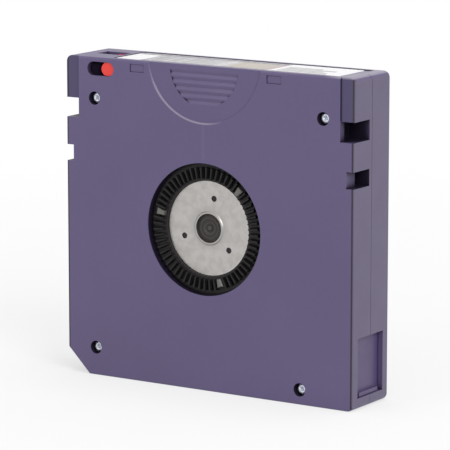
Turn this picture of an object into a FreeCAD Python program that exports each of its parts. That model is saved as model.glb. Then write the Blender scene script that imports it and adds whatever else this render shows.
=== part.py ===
"""A single-reel data tape cartridge, standing on its insertion edge.

X runs across the cartridge, Y through its thickness and Z along its length. The origin is at the
middle of the insertion edge that it stands on. The face with the reel's opening looks along -Y,
and the edge with the label and the write-protect tab is on top. A "depth" in this file is
measured from the hub face into the cartridge, so depth 0 is at Y = -THICKNESS / 2.
"""
import FreeCAD, Part
import math
import os

from FreeCAD import Vector

# Case
WIDTH = 105.4
LENGTH = 102.0
THICKNESS = 21.5
WALL = 1.6
FLOOR = 1.7
CORNER_RADIUS = 2.0
EDGE_ROUND = 0.6
PARTING = THICKNESS / 2
SEAM_DEPTH = 0.15
SEAM_HALF_WIDTH = 0.1
TONGUE_INSET = 0.85
TONGUE_HEIGHT = 0.8
GUIDE_CORNER = 8.0
HALF = WIDTH / 2
INNER_HALF = HALF - WALL
ROOF = THICKNESS - FLOOR

# Reel
REEL_X = -1.0
REEL_Z = 51.0
HUB_OPENING_RADIUS = 20.8
LIP_WIDTH = 2.0
FLANGE_RADIUS = 48.0
BARREL_RADIUS = 22.0
BARREL_BORE = 20.0
TAPE_WIDTH = 12.65
PACK_RADIUS = 45.6
REEL_FLOOR = 3.0
REEL_PLAY = 0.05
FLANGE_THICKNESS = 1.4
FLANGE_GAP = 13.0
SPIGOT_RADIUS = 21.2
SPIGOT_HEIGHT = 0.5
FLANGE_FACE = REEL_FLOOR + FLANGE_THICKNESS
UPPER_FLANGE_FACE = FLANGE_FACE + FLANGE_GAP
PACK_LOW = FLANGE_FACE + (FLANGE_GAP - TAPE_WIDTH) / 2
PACK_HIGH = PACK_LOW + TAPE_WIDTH

# Drive teeth, clutch plate and the legs that come out between the teeth
DRIVE_TOOTH_COUNT = 60
DRIVE_TOOTH_START = -1.0
DRIVE_RING_RADIUS = 20.3
DRIVE_TOOTH_RADII = (15.8, 19.3)
DRIVE_TOOTH_TIP = 0.9
DRIVE_TOOTH_ROOT = 2.5
DRIVE_TOOTH_WIDTH = 3.6
DRIVE_TOOTH_DRAFT = 0.3
PLATE_RADIUS = 14.9
PLATE_BORE = 4.6
PLATE_FACE = 3.2
PLATE_THICKNESS = 0.65
PLATE_BACK = PLATE_FACE + PLATE_THICKNESS
PLATE_RIM = 0.3
STAKE_CIRCLE = 9.62
STAKE_HOLE = 0.95
STAKE_RADIUS = 0.85
STAKE_ANGLES = (79.0, 199.0, 319.0)
LEG_CIRCLE = 17.25
LEG_ANGLES = (47.0, 167.0, 287.0)
LEG_LENGTH = 2.6
LEG_WIDTHS = (1.4, 2.2)
LEG_CLEARANCE = 0.15
LEG_TIP = 0.95

# Brake: a crown of teeth on the brake drops into a crown of teeth inside the hub
LOCK_TOOTH_COUNT = 36
LOCK_TOOTH_START = -3.0
LOCK_RADII = (9.6, 12.3)
LOCK_RING = 6.0
LOCK_TOOTH_TIP = 7.1
LOCK_TOOTH_WIDTH = 5.0
LOCK_TOOTH_DRAFT = 0.22
BRAKE_RADIUS = 12.6
BRAKE_FACE = 7.15
BRAKE_BACK = 8.5
BRAKE_STEM_RADIUS = 3.94
BRAKE_STEM_TOP = 14.0
BRAKE_WING = (2.0, 6.9, 13.0)
POST_RADIUS = 6.0
POST_BORE = 4.0
POST_END = 10.6
POST_SLOT = 2.3
ARM_WIDTH = 3.6
ARM_THICKNESS = 1.3
SPIDER_RADIUS = 9.0
SPIDER_FLOOR = FLANGE_FACE + REEL_PLAY
DOME_RADIUS = 2.6
BRAKE_SPRING_RADIUS = 7.8
BRAKE_SPRING_WIRE = 0.35
BRAKE_SPRING_TURNS = 4.5

# Handling notches, on both sides: depth of the cut from the side, inner end of the pocket behind
# it, lower and upper edge, and how thick the material is at the hub face before the pocket widens
NOTCH_REACH = 9.3
LARGE_NOTCH = {"cut": 4.8, "pocket": 7.2, "low": 82.4, "high": 88.6, "lip": 2.4}
SMALL_NOTCH = {"cut": 2.7, "pocket": 5.2, "low": 68.4, "high": 73.6, "lip": 5.2}
NOTCH_WALL = 1.0
BAND_DEPTH = 0.45
BAND_WIDTH = LARGE_NOTCH["cut"]

# Thumb grip: a dish, and inside a smaller circle the grooves in its floor
GRIP_X = REEL_X
GRIP_CENTRE_Z = 105.0
GRIP_RADIUS = 20.8
GRIP_DEPTH = 0.3
GRIP_RIB_CENTRE_Z = 101.5
GRIP_RIB_RADIUS = 12.5
GRIP_GROOVE_COUNT = 5
GRIP_GROOVE_TOP = 99.35
GRIP_GROOVE_PITCH = 2.1
GRIP_GROOVE_WIDTH = 1.9
GRIP_GROOVE_DEPTH = 0.4
LATCH_MARK_X = -0.6
LATCH_MARK = (22.5, 27.7, 98.3, 100.8)
LATCH_MARK_DEPTH = 0.25

# Screws
SCREW_PLACES = ((-41.9, 89.0), (41.9, 89.0), (-41.9, 9.0), (34.0, 4.7))
SCREW_HOLE_RADIUS = 2.1
SCREW_HEAD_RADIUS = 1.8
SCREW_HEAD_TOP = 1.6
SCREW_SEAT = 3.0
SCREW_RADIUS = 1.0
SCREW_END = 16.0
BOSS_RADIUS = 2.9

# Write-protect tab
SLOT_X = (-44.5, -34.5)
SLOT_Z = 98.4
SLOT_RADIUS = 2.2
TAB_LENGTH = 4.7
TAB_CLEARANCE = 0.12
TAB_FACE = 0.35
REAR_WINDOW = (-46.8, -37.5, 8.6, 14.4)
TAB_BLOCK_LENGTH = 3.9
TAB_GROOVE_COUNT = 3

# Label on the rear edge
LABEL_X = (-36.0, 48.2)
LABEL_DEPTHS = (2.1, 19.4)
LABEL_RECESS = 0.3
LABEL_THICKNESS = 0.15
LABEL_MARGIN = 0.3

# Leader pin, tape access door and its spring, by the front corner on the +X side
PIN_X = 44.0
PIN_Z = 11.0
PIN_RADIUS = 1.25
PIN_TIP_RADIUS = 1.4
PIN_FLANGE_RADIUS = 2.3
PIN_FLANGE = 0.6
PIN_TIP = 0.8
CLIP_RADIUS = 1.8
SPRING_CLIP_RADII = (1.45, 1.75)
SPRING_CLIP_MOUTH = 130.0
SEAT_HALF = 3.5
TAPE_THICKNESS = 0.2
TAPE_PACK_GAP = 0.3
WINDOW_Z = (3.6, 22.2)
WINDOW_DEPTHS = (3.2, 18.3)
DOOR_THICKNESS = 1.3
DOOR_CLEARANCE = 0.2
DOOR_Z = (2.2, 23.6)
DOOR_LIP = 1.2
DOOR_X = (INNER_HALF - DOOR_CLEARANCE - DOOR_THICKNESS, INNER_HALF - DOOR_CLEARANCE)
RAIL_WIDTH = 0.8
RAIL_HEIGHT = 1.3
RAIL_X = (DOOR_X[0] - DOOR_CLEARANCE - RAIL_WIDTH, DOOR_X[0] - DOOR_CLEARANCE)
LOWER_RAIL_Z = (2.0, 59.0)
UPPER_RAIL_Z = (2.0, 42.0)
DOOR_SPRING_RADIUS = 0.58
DOOR_SPRING_WIRE = 0.12
DOOR_SPRING_TURNS = 11
DOOR_SPRING_DEPTH = FLOOR + 0.8
PEG_RADIUS = 0.38
PEG_LENGTH = 2.5

# Memory chip, held at 45 degrees in the rear corner on the +X side
CHIP_SIZE = (17.0, 8.0, 0.6)
CHIP_CENTRE = (40.0, 5.2, 96.2)
CHIP_RAMPS = (33.0, 45.8)
CHIP_RAMP_WIDTH = 1.2

# Walls that guard the edge of the reel inside the corners
GUARD_RADII = (49.2, 50.2)
GUARD_ARCS = ((40.0, 62.0), (118.0, 140.0), (215.0, 240.0))

COIL_STEPS = 8
OUTSIDE = 5.0
SINK = 0.1
Y_AXIS = Vector(0, 1, 0)


def point(x, depth, z):
    """Return a point from its place across, its depth under the hub face and its height."""
    return Vector(x, depth - THICKNESS / 2, z)


def block(xs, depths, zs):
    """Return a box between two places across, two depths and two heights."""
    corner = point(xs[0], depths[0], zs[0])
    return Part.makeBox(xs[1] - xs[0], depths[1] - depths[0], zs[1] - zs[0], corner)


def disc(radius, depths, x=REEL_X, z=REEL_Z):
    """Return a cylinder along the thickness, by default on the reel's axis."""
    return Part.makeCylinder(radius, depths[1] - depths[0], point(x, depths[0], z), Y_AXIS)


def ring(outer, inner, depths, x=REEL_X, z=REEL_Z):
    """Return a flat ring along the thickness, by default on the reel's axis."""
    return disc(outer, depths, x, z).cut(disc(inner, depths, x, z))


def turned(profile, x=REEL_X, z=REEL_Z):
    """Turn a closed outline of (radius, depth) points about an axis along the thickness."""
    corners = [point(x + radius, depth, z) for radius, depth in profile]
    face = Part.Face(Part.makePolygon(corners + corners[:1]))
    return face.revolve(point(x, 0, z), Y_AXIS, 360)


def turn(shape, degrees):
    """Return a copy turned about the reel's axis, from +X towards +Z."""
    return shape.rotated(point(REEL_X, 0, REEL_Z), Y_AXIS, -degrees)


def on_reel(out, depth, up):
    """Return a point from its place out along +X from the reel's axis, its depth and its rise."""
    return point(REEL_X + out, depth, REEL_Z + up)


def spoke(outs, depths, width):
    """Return a bar that lies along +X from the reel's axis, between two distances from it."""
    return block((REEL_X + outs[0], REEL_X + outs[1]), depths, (REEL_Z - width / 2, REEL_Z + width / 2))


def prism(outline, depths):
    """Return a solid from a closed outline of (x, z) points, between two depths."""
    corners = [point(x, depths[0], z) for x, z in outline]
    face = Part.Face(Part.makePolygon(corners + corners[:1]))
    return face.extrude(Vector(0, depths[1] - depths[0], 0))


def stadium(xs, z, radius, depths):
    """Return a bar with round ends, lying along X."""
    ends = [disc(radius, depths, xs[0] + radius, z), disc(radius, depths, xs[1] - radius, z)]
    middle = block((xs[0] + radius, xs[1] - radius), depths, (z - radius, z + radius))
    return middle.multiFuse(ends).removeSplitter()


def round_edges(shape, radius, chosen):
    """Round the edges of a shape that the test picks out."""
    return shape.makeFillet(radius, [edge for edge in shape.Edges if chosen(edge)])


def runs_along_y(edge):
    """Tell whether a straight edge lies along the thickness."""
    box = edge.BoundBox
    return box.YLength > box.XLength + box.ZLength


def case_block(inset, depths):
    """Return the case's outline, drawn in by an inset, between two depths."""
    blank = block((-HALF + inset, HALF - inset), depths, (inset, LENGTH - inset))
    return round_edges(blank, max(CORNER_RADIUS - inset, EDGE_ROUND), runs_along_y)


def guide_corner(leg, depths):
    """Return the slanted cut of the insertion guide, on the front corner at -X."""
    left, foot = -HALF, 0.0
    outline = [(left - OUTSIDE, foot - OUTSIDE), (left + leg + OUTSIDE, foot - OUTSIDE),
               (left - OUTSIDE, foot + leg + OUTSIDE)]
    return prism(outline, depths)


def face_edge_at(depth):
    """Return a test for the edges that lie in the plane at one depth."""
    level = point(0, depth, 0).y

    def lies_there(edge):
        box = edge.BoundBox
        return abs(box.YMin - level) < SINK / 10 and abs(box.YMax - level) < SINK / 10

    return lies_there


def seam_groove():
    """Return the fine groove that runs round the case where its halves meet."""
    depths = (PARTING - SEAM_HALF_WIDTH, PARTING + SEAM_HALF_WIDTH)
    around = block((-HALF - OUTSIDE, HALF + OUTSIDE), depths, (-OUTSIDE, LENGTH + OUTSIDE))
    return around.cut(case_block(SEAM_DEPTH, depths))


def tongue(clearance):
    """Return the tongue that locates the halves, grown by a clearance for its groove."""
    depths = (PARTING - SINK, PARTING + TONGUE_HEIGHT + clearance)
    frame = case_block(TONGUE_INSET - clearance, depths).cut(case_block(WALL, depths))
    doorway = block((INNER_HALF - OUTSIDE, HALF), depths, (0, UPPER_RAIL_Z[1]))
    corner = block((-HALF, -HALF + GUIDE_CORNER + OUTSIDE), depths, (0, GUIDE_CORNER + OUTSIDE))
    window = block(REAR_WINDOW[:2], depths, (LENGTH - OUTSIDE, LENGTH))
    return frame.cut(doorway).cut(corner).cut(window)


def notch_pocket_walls(notch, side):
    """Return the closed walls round one handling notch, before it is cut."""
    reach = notch["pocket"] + NOTCH_WALL
    xs = sorted((side * (HALF - reach), side * (INNER_HALF + SINK)))
    zs = (notch["low"] - NOTCH_WALL, notch["high"] + NOTCH_WALL)
    return block(xs, (FLOOR - SINK, PARTING), zs)


def notch_cut(notch, side):
    """Return the space of one handling notch: its mouth, and the wider pocket behind it."""
    zs = (notch["low"], notch["high"])
    mouth_xs = sorted((side * (HALF - notch["cut"]), side * (HALF + OUTSIDE)))
    pocket_xs = sorted((side * (HALF - notch["pocket"]), side * (HALF + OUTSIDE)))
    mouth = block(mouth_xs, (-OUTSIDE, NOTCH_REACH), zs)
    return mouth.fuse(block(pocket_xs, (notch["lip"], NOTCH_REACH), zs))


def side_band(side):
    """Return the shallow step along one side of the hub face, above the large notch."""
    xs = sorted((side * (HALF - BAND_WIDTH), side * (HALF + OUTSIDE)))
    return block(xs, (-OUTSIDE, BAND_DEPTH), (LARGE_NOTCH["low"], LENGTH + OUTSIDE))


def grip_groove(z, floor, inward):
    """Return the cut of one V-shaped groove in the floor of the thumb grip's dish."""
    left = GRIP_X - GRIP_RIB_RADIUS
    half = GRIP_GROOVE_WIDTH / 2 * (1 + SINK / GRIP_GROOVE_DEPTH)
    section = [point(left, floor - inward * SINK, z + half),
               point(left, floor + inward * GRIP_GROOVE_DEPTH, z),
               point(left, floor - inward * SINK, z - half)]
    blade = Part.Face(Part.makePolygon(section + section[:1]))
    return blade.extrude(Vector(2 * GRIP_RIB_RADIUS, 0, 0))


def thumb_grip(face, inward):
    """Return the cuts of the thumb grip on one face: a shallow dish with grooves in it."""
    rim, floor = face - inward * SINK, face + inward * GRIP_DEPTH
    dish = Part.makeCone(GRIP_RADIUS + SINK, GRIP_RADIUS - GRIP_DEPTH, SINK + GRIP_DEPTH,
                         point(GRIP_X, rim, GRIP_CENTRE_Z), Vector(0, inward, 0))
    depths = sorted((rim, floor + inward * GRIP_GROOVE_DEPTH))
    limit = disc(GRIP_RIB_RADIUS, depths, GRIP_X, GRIP_RIB_CENTRE_Z)
    heights = [GRIP_GROOVE_TOP - i * GRIP_GROOVE_PITCH for i in range(GRIP_GROOVE_COUNT)]
    grooves = [grip_groove(z, floor, inward).common(limit) for z in heights]
    return [dish] + grooves


def latch_marks():
    """Return the two small sunk rectangles by the rear edge of the hub face."""
    near, far, low, high = LATCH_MARK
    depths = (-OUTSIDE, LATCH_MARK_DEPTH)
    spans = [sorted((LATCH_MARK_X + side * near, LATCH_MARK_X + side * far)) for side in (-1, 1)]
    return [block(xs, depths, (low, high)) for xs in spans]


def reel_guards(depths):
    """Return the curved walls inside the corners, round the edge of the reel."""
    walls = []
    for start, end in GUARD_ARCS:
        wedge = ring(GUARD_RADII[1], GUARD_RADII[0], depths)
        reach = GUARD_RADII[1] * 2
        corners = [(REEL_X, REEL_Z)]
        for angle in (start, end):
            turned_by = math.radians(angle)
            corners.append((REEL_X + reach * math.cos(turned_by), REEL_Z + reach * math.sin(turned_by)))
        walls.append(wedge.common(prism(corners, depths)))
    return walls


def door_rail(zs, depths):
    """Return the low wall that keeps the access door against the side of the case."""
    return block(RAIL_X, depths, zs)


def pin_seat(depths, groove_depths):
    """Return the block that a tip of the leader pin rests in, open towards the window."""
    xs = (PIN_X - SEAT_HALF, PIN_X + SEAT_HALF)
    seat = block(xs, depths, (PIN_Z - SEAT_HALF, PIN_Z + SEAT_HALF))
    radius = SPRING_CLIP_RADII[1] + SINK
    groove = disc(radius, groove_depths, PIN_X, PIN_Z)
    exit_way = block((PIN_X, xs[1] + SINK), groove_depths, (PIN_Z - radius, PIN_Z + radius))
    return seat.cut(groove.fuse(exit_way))


def access_window():
    """Return the window in the side wall that the tape leaves through."""
    return block((INNER_HALF - SINK, HALF + OUTSIDE), WINDOW_DEPTHS, WINDOW_Z)


def rear_window():
    """Return the window in the rear wall for the write-protect tab."""
    return block(REAR_WINDOW[:2], REAR_WINDOW[2:], (LENGTH - WALL - SINK, LENGTH + OUTSIDE))


def label_recess():
    """Return the sunk field on the rear edge that the label lies in."""
    return block(LABEL_X, LABEL_DEPTHS, (LENGTH - LABEL_RECESS, LENGTH + OUTSIDE))


def chip_ramps():
    """Return the two slanted ribs that hold the memory chip at 45 degrees."""
    _, depth, height = CHIP_CENTRE
    offset = height - depth + CHIP_SIZE[2] / 2 * math.sqrt(2)
    rear = LENGTH - WALL
    ramps = []
    for x in CHIP_RAMPS:
        corners = [point(x, FLOOR - SINK, FLOOR + offset), point(x, FLOOR - SINK, rear),
                   point(x, rear - offset, rear), point(x, FLOOR, FLOOR + offset)]
        face = Part.Face(Part.makePolygon(corners + corners[:1]))
        ramps.append(face.extrude(Vector(CHIP_RAMP_WIDTH, 0, 0)))
    return ramps


def lower_shell():
    """Return the half of the case with the hub opening, moulded in one piece."""
    depths = (0.0, PARTING)
    outer = case_block(0.0, depths).cut(guide_corner(GUIDE_CORNER, depths))
    outer = round_edges(outer, EDGE_ROUND, face_edge_at(0.0))
    cavity_depths = (FLOOR, PARTING + SINK)
    inner_leg = GUIDE_CORNER + WALL * math.sqrt(2)
    cavity = case_block(WALL, cavity_depths).cut(guide_corner(inner_leg, cavity_depths))
    shell = outer.cut(cavity)

    inner_top = PARTING - 2 * SINK
    lip = ring(HUB_OPENING_RADIUS + LIP_WIDTH, HUB_OPENING_RADIUS, (FLOOR - SINK, REEL_FLOOR - REEL_PLAY))
    spring_stop = block((RAIL_X[0], INNER_HALF + SINK), (FLOOR - SINK, REEL_FLOOR),
                        (LOWER_RAIL_Z[1], LOWER_RAIL_Z[1] + WALL))
    added = [lip, spring_stop, tongue(0.0), door_rail(LOWER_RAIL_Z, (FLOOR - SINK, FLOOR + RAIL_HEIGHT))]
    added += [disc(BOSS_RADIUS, (FLOOR - SINK, PARTING), x, z) for x, z in SCREW_PLACES]
    added += reel_guards((FLOOR - SINK, inner_top))
    added += chip_ramps()
    seat_top = PACK_LOW - SINK - PIN_FLANGE - REEL_PLAY
    added.append(pin_seat((FLOOR - SINK, seat_top), (seat_top - PIN_TIP - REEL_PLAY, seat_top + SINK)))
    sides = (-1, 1)
    notches = (LARGE_NOTCH, SMALL_NOTCH)
    added += [notch_pocket_walls(notch, side) for notch in notches for side in sides]
    shell = shell.multiFuse(added)

    removed = [disc(HUB_OPENING_RADIUS, (-OUTSIDE, FLOOR + SINK)), seam_groove(), access_window(),
               rear_window(), label_recess(), stadium(SLOT_X, SLOT_Z, SLOT_RADIUS, (-OUTSIDE, FLOOR + SINK))]
    removed += [notch_cut(notch, side) for notch in notches for side in sides]
    removed += [side_band(side) for side in sides]
    removed += thumb_grip(0.0, 1) + latch_marks()
    for x, z in SCREW_PLACES:
        removed.append(disc(SCREW_HOLE_RADIUS, (-OUTSIDE, SCREW_SEAT), x, z))
        removed.append(disc(SCREW_RADIUS + SINK, (SCREW_SEAT - SINK, PARTING + SINK), x, z))
    return shell.cut(removed).removeSplitter()


def brake_post():
    """Return the slotted post that guides the brake and stops it turning."""
    post = ring(POST_RADIUS, POST_BORE, (POST_END, ROOF + SINK))
    reach = POST_RADIUS + SINK
    return post.cut(spoke((-reach, reach), (POST_END - SINK, ROOF), POST_SLOT))


def upper_shell():
    """Return the plain half of the case, with the post for the brake."""
    depths = (PARTING, THICKNESS)
    outer = round_edges(case_block(0.0, depths), EDGE_ROUND, face_edge_at(THICKNESS))
    shell = outer.cut(case_block(WALL, (PARTING - SINK, ROOF)))

    blank_corner = case_block(WALL - SINK, (PARTING, PARTING + WALL))
    inner_leg = GUIDE_CORNER + WALL * math.sqrt(2)
    corner_floor = blank_corner.common(guide_corner(inner_leg, (PARTING, PARTING + WALL)))
    added = [corner_floor, brake_post(), door_rail(UPPER_RAIL_Z, (ROOF - RAIL_HEIGHT, ROOF + SINK))]
    added += [disc(BOSS_RADIUS, (PARTING, ROOF + SINK), x, z) for x, z in SCREW_PLACES]
    seat_top = PACK_HIGH + SINK + PIN_FLANGE + REEL_PLAY
    added.append(pin_seat((seat_top, ROOF + SINK), (seat_top - SINK, seat_top + PIN_TIP + REEL_PLAY)))
    shell = shell.multiFuse(added)

    removed = [seam_groove(), access_window(), rear_window(), label_recess(), tongue(REEL_PLAY)]
    removed += thumb_grip(THICKNESS, -1)
    removed += [disc(SCREW_RADIUS, (PARTING - SINK, SCREW_END + SINK), x, z) for x, z in SCREW_PLACES]
    return shell.cut(removed).removeSplitter()


def case_screws():
    """Return the four pan-head screws that hold the halves together."""
    head_round = 0.4
    screws = []
    for x, z in SCREW_PLACES:
        profile = [(0, SCREW_HEAD_TOP), (SCREW_HEAD_RADIUS - head_round, SCREW_HEAD_TOP),
                   (SCREW_HEAD_RADIUS, SCREW_HEAD_TOP + head_round), (SCREW_HEAD_RADIUS, SCREW_SEAT),
                   (SCREW_RADIUS, SCREW_SEAT), (SCREW_RADIUS, SCREW_END), (0, SCREW_END)]
        screws.append(turned(profile, x, z))
    return Part.makeCompound(screws)


def rear_label():
    """Return the bare label on the rear edge."""
    base = LENGTH - LABEL_RECESS
    xs = (LABEL_X[0] + LABEL_MARGIN, LABEL_X[1] - LABEL_MARGIN)
    depths = (LABEL_DEPTHS[0] + LABEL_MARGIN, LABEL_DEPTHS[1] - LABEL_MARGIN)
    return block(xs, depths, (base, base + LABEL_THICKNESS))


def write_protect_tab():
    """Return the sliding tab: its pad in the hub face, a riser, and its block in the rear wall."""
    right = SLOT_X[1] - TAB_CLEARANCE
    left = right - TAB_LENGTH
    radius = SLOT_RADIUS - TAB_CLEARANCE
    flange_floor = FLOOR + TAB_CLEARANCE
    pad = stadium((left, right), SLOT_Z, radius, (TAB_FACE, FLOOR))
    rear = LENGTH - WALL - TAB_CLEARANCE
    neck = block((left + radius, right - radius), (FLOOR - SINK, flange_floor + SINK),
                 (SLOT_Z - radius, rear))
    flange = block((left, right), (flange_floor, flange_floor + 1.2), (SLOT_Z - SLOT_RADIUS - 1.3, rear))
    window_left, window_right, low, high = REAR_WINDOW
    block_right = window_right - TAB_CLEARANCE
    block_left = block_right - TAB_BLOCK_LENGTH
    riser = block((left, block_right), (flange_floor, high - TAB_CLEARANCE), (rear - 3.0, rear))
    depths = (low + TAB_CLEARANCE, high - TAB_CLEARANCE)
    thumb = block((block_left, block_right), depths, (rear - 2.0, LENGTH - 0.6))
    body = pad.multiFuse([neck, flange, riser, thumb])
    pitch = TAB_BLOCK_LENGTH / (TAB_GROOVE_COUNT + 1)
    places = [block_left + pitch * (i + 1) for i in range(TAB_GROOVE_COUNT)]
    grooves = [block((x - 0.2, x + 0.2), (0, THICKNESS), (LENGTH - 0.9, LENGTH)) for x in places]
    return body.cut(grooves).removeSplitter()


def memory_chip():
    """Return the small circuit board, with its chip, tilted between floor and rear wall."""
    x, depth, z = CHIP_CENTRE
    length, width, thickness = CHIP_SIZE
    board = Part.makeBox(length, width, thickness, Vector(-length / 2, -width / 2, -thickness / 2))
    package = Part.makeBox(5.0, 4.0, 0.7 + SINK, Vector(-2.5, -2.0, -thickness / 2 - 0.7))
    chip = board.fuse(package)
    chip.rotate(Vector(0, 0, 0), Vector(1, 0, 0), 45)
    chip.translate(point(x, depth, z))
    return chip


def leader_pin():
    """Return the steel pin at the end of the tape, with a flange and a tip at each end."""
    low, high = PACK_LOW - SINK, PACK_HIGH + SINK
    profile = [(0, low - PIN_FLANGE - PIN_TIP), (PIN_TIP_RADIUS, low - PIN_FLANGE - PIN_TIP),
               (PIN_TIP_RADIUS, low - PIN_FLANGE), (PIN_FLANGE_RADIUS, low - PIN_FLANGE),
               (PIN_FLANGE_RADIUS, low), (PIN_RADIUS, low), (PIN_RADIUS, high),
               (PIN_FLANGE_RADIUS, high), (PIN_FLANGE_RADIUS, high + PIN_FLANGE),
               (PIN_TIP_RADIUS, high + PIN_FLANGE), (PIN_TIP_RADIUS, high + PIN_FLANGE + PIN_TIP),
               (0, high + PIN_FLANGE + PIN_TIP)]
    return turned(profile, PIN_X, PIN_Z)


def tape_clip():
    """Return the split sleeve that clamps the tape's end to the pin."""
    depths = (PACK_LOW, PACK_HIGH)
    sleeve = ring(CLIP_RADIUS, PIN_RADIUS, depths, PIN_X, PIN_Z)
    slit = block((PIN_X - CLIP_RADIUS, PIN_X), depths, (PIN_Z - PIN_RADIUS / 2, PIN_Z + PIN_RADIUS / 2))
    return sleeve.cut(slit)


def pin_clip(depths):
    """Return one of the sprung clips that hold the tips of the leader pin."""
    outer, inner = SPRING_CLIP_RADII[1], SPRING_CLIP_RADII[0]
    hoop = ring(outer, inner, depths, PIN_X, PIN_Z)
    half_mouth = math.radians(SPRING_CLIP_MOUTH / 2)
    reach = outer * 3
    end = (PIN_X + reach * math.cos(half_mouth), reach * math.sin(half_mouth))
    mouth = prism([(PIN_X, PIN_Z), (end[0], PIN_Z - end[1]), (PIN_X + reach, PIN_Z - end[1]),
                   (PIN_X + reach, PIN_Z + end[1]), (end[0], PIN_Z + end[1])], depths)
    return hoop.cut(mouth)


def leader_tape():
    """Return the straight stretch of tape from the roll to the clip on the pin."""
    roll = PACK_RADIUS + TAPE_PACK_GAP
    apart = math.hypot(PIN_X - REEL_X, PIN_Z - REEL_Z)
    towards_pin = math.atan2(PIN_Z - REEL_Z, PIN_X - REEL_X)
    normal = towards_pin - math.acos((roll - CLIP_RADIUS) / apart)
    across, up = math.cos(normal), math.sin(normal)
    outer = roll + TAPE_THICKNESS
    clip_outer = CLIP_RADIUS + TAPE_THICKNESS
    outline = [(REEL_X + roll * across, REEL_Z + roll * up), (REEL_X + outer * across, REEL_Z + outer * up),
               (PIN_X + clip_outer * across, PIN_Z + clip_outer * up),
               (PIN_X + CLIP_RADIUS * across, PIN_Z + CLIP_RADIUS * up)]
    return prism(outline, (PACK_LOW, PACK_HIGH))


def access_door():
    """Return the sliding door, with the lip that opens it and the peg for its spring."""
    edge_gap = DOOR_CLEARANCE + SINK
    panel = block(DOOR_X, (FLOOR + edge_gap, ROOF - edge_gap), DOOR_Z)
    lip_z = (WINDOW_Z[0] + DOOR_CLEARANCE, WINDOW_Z[0] + DOOR_CLEARANCE + DOOR_LIP)
    lip_depths = (WINDOW_DEPTHS[0] + 2.0, WINDOW_DEPTHS[1] - 2.0)
    lip = block((DOOR_X[1] - SINK, DOOR_X[1] + DOOR_LIP), lip_depths, lip_z)
    peg = Part.makeCylinder(PEG_RADIUS, PEG_LENGTH + SINK,
                            point((DOOR_X[0] + DOOR_X[1]) / 2, DOOR_SPRING_DEPTH, DOOR_Z[1] - SINK),
                            Vector(0, 0, 1))
    return panel.multiFuse([lip, peg]).removeSplitter()


def flat_sided(outlines):
    """Return the solid that a closed set of flat faces bounds, from the faces' corners."""
    faces = [Part.Face(Part.makePolygon(list(corners) + [corners[0]])) for corners in outlines]
    solid = Part.Solid(Part.Shell(faces))
    return solid if solid.Volume > 0 else solid.reversed()


def coil(radius, wire, turns, length):
    """Return a coil spring along +Z, standing on the origin, as straight lengths of four-sided wire."""
    steps = round(turns * COIL_STEPS)
    corners = ((wire, 0), (0, wire), (-wire, 0), (0, -wire))
    sections = []
    for step in range(steps + 1):
        angle = 2 * math.pi * step / COIL_STEPS
        height = wire + (length - 2 * wire) * step / steps
        across, along = math.cos(angle), math.sin(angle)
        sections.append([Vector((radius + out) * across, (radius + out) * along, height + up)
                         for out, up in corners])
    triangles = [(sections[0][0], sections[0][i + 1], sections[0][i]) for i in (1, 2)]
    triangles += [(sections[-1][0], sections[-1][i], sections[-1][i + 1]) for i in (1, 2)]
    for low, high in zip(sections, sections[1:]):
        for i in range(len(corners)):
            after = (i + 1) % len(corners)
            triangles += [(low[i], low[after], high[after]), (low[i], high[after], high[i])]
    return flat_sided(triangles)


def door_spring():
    """Return the long thin coil that closes the door, lying along the side wall."""
    spring = coil(DOOR_SPRING_RADIUS, DOOR_SPRING_WIRE, DOOR_SPRING_TURNS, LOWER_RAIL_Z[1] - DOOR_Z[1])
    spring.translate(point((DOOR_X[0] + DOOR_X[1]) / 2, DOOR_SPRING_DEPTH, DOOR_Z[1]))
    return spring


def brake_spring():
    """Return the coil between the brake and the roof of the case."""
    spring = coil(BRAKE_SPRING_RADIUS, BRAKE_SPRING_WIRE, BRAKE_SPRING_TURNS, ROOF - BRAKE_BACK)
    spring.rotate(Vector(0, 0, 0), Vector(1, 0, 0), -90)
    spring.translate(point(REEL_X, BRAKE_BACK, REEL_Z))
    return spring


def face_tooth(radii, width, draft, base, tip):
    """Return a radial tooth on +X, with its width in degrees, narrowed by a draft from base to tip."""
    slope = math.tan(math.radians(width / 2))
    rings = []
    for narrowing, depth in ((0.0, base), (draft, tip)):
        near, far = (radius * slope - narrowing for radius in radii)
        rings.append([on_reel(radii[0], depth, -near), on_reel(radii[1], depth, -far),
                      on_reel(radii[1], depth, far), on_reel(radii[0], depth, near)])
    foot, crest = rings
    sides = [(foot[i], foot[(i + 1) % 4], crest[(i + 1) % 4], crest[i]) for i in range(4)]
    return flat_sided(sides + [tuple(reversed(foot)), tuple(crest)])


def crown(tooth, count, start, gaps, gap_width):
    """Return a crown of copies of a face tooth, leaving out those near each gap angle."""
    teeth = []
    for i in range(count):
        angle = start + i * 360.0 / count
        nearest = min((abs((angle - gap + 180) % 360 - 180) for gap in gaps), default=360)
        if nearest > gap_width / 2:
            teeth.append(turn(tooth, angle))
    return teeth


def leg_block(clearance, depths):
    """Return the stock of one leg on +X, wider outwards, grown by a clearance for its hole."""
    near, far = (REEL_X + LEG_CIRCLE + side * (LEG_LENGTH / 2 + clearance) for side in (-1, 1))
    narrow, wide = (width / 2 + clearance for width in LEG_WIDTHS)
    outline = [(near, REEL_Z - narrow), (far, REEL_Z - wide), (far, REEL_Z + wide), (near, REEL_Z + narrow)]
    return prism(outline, depths)


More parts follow.
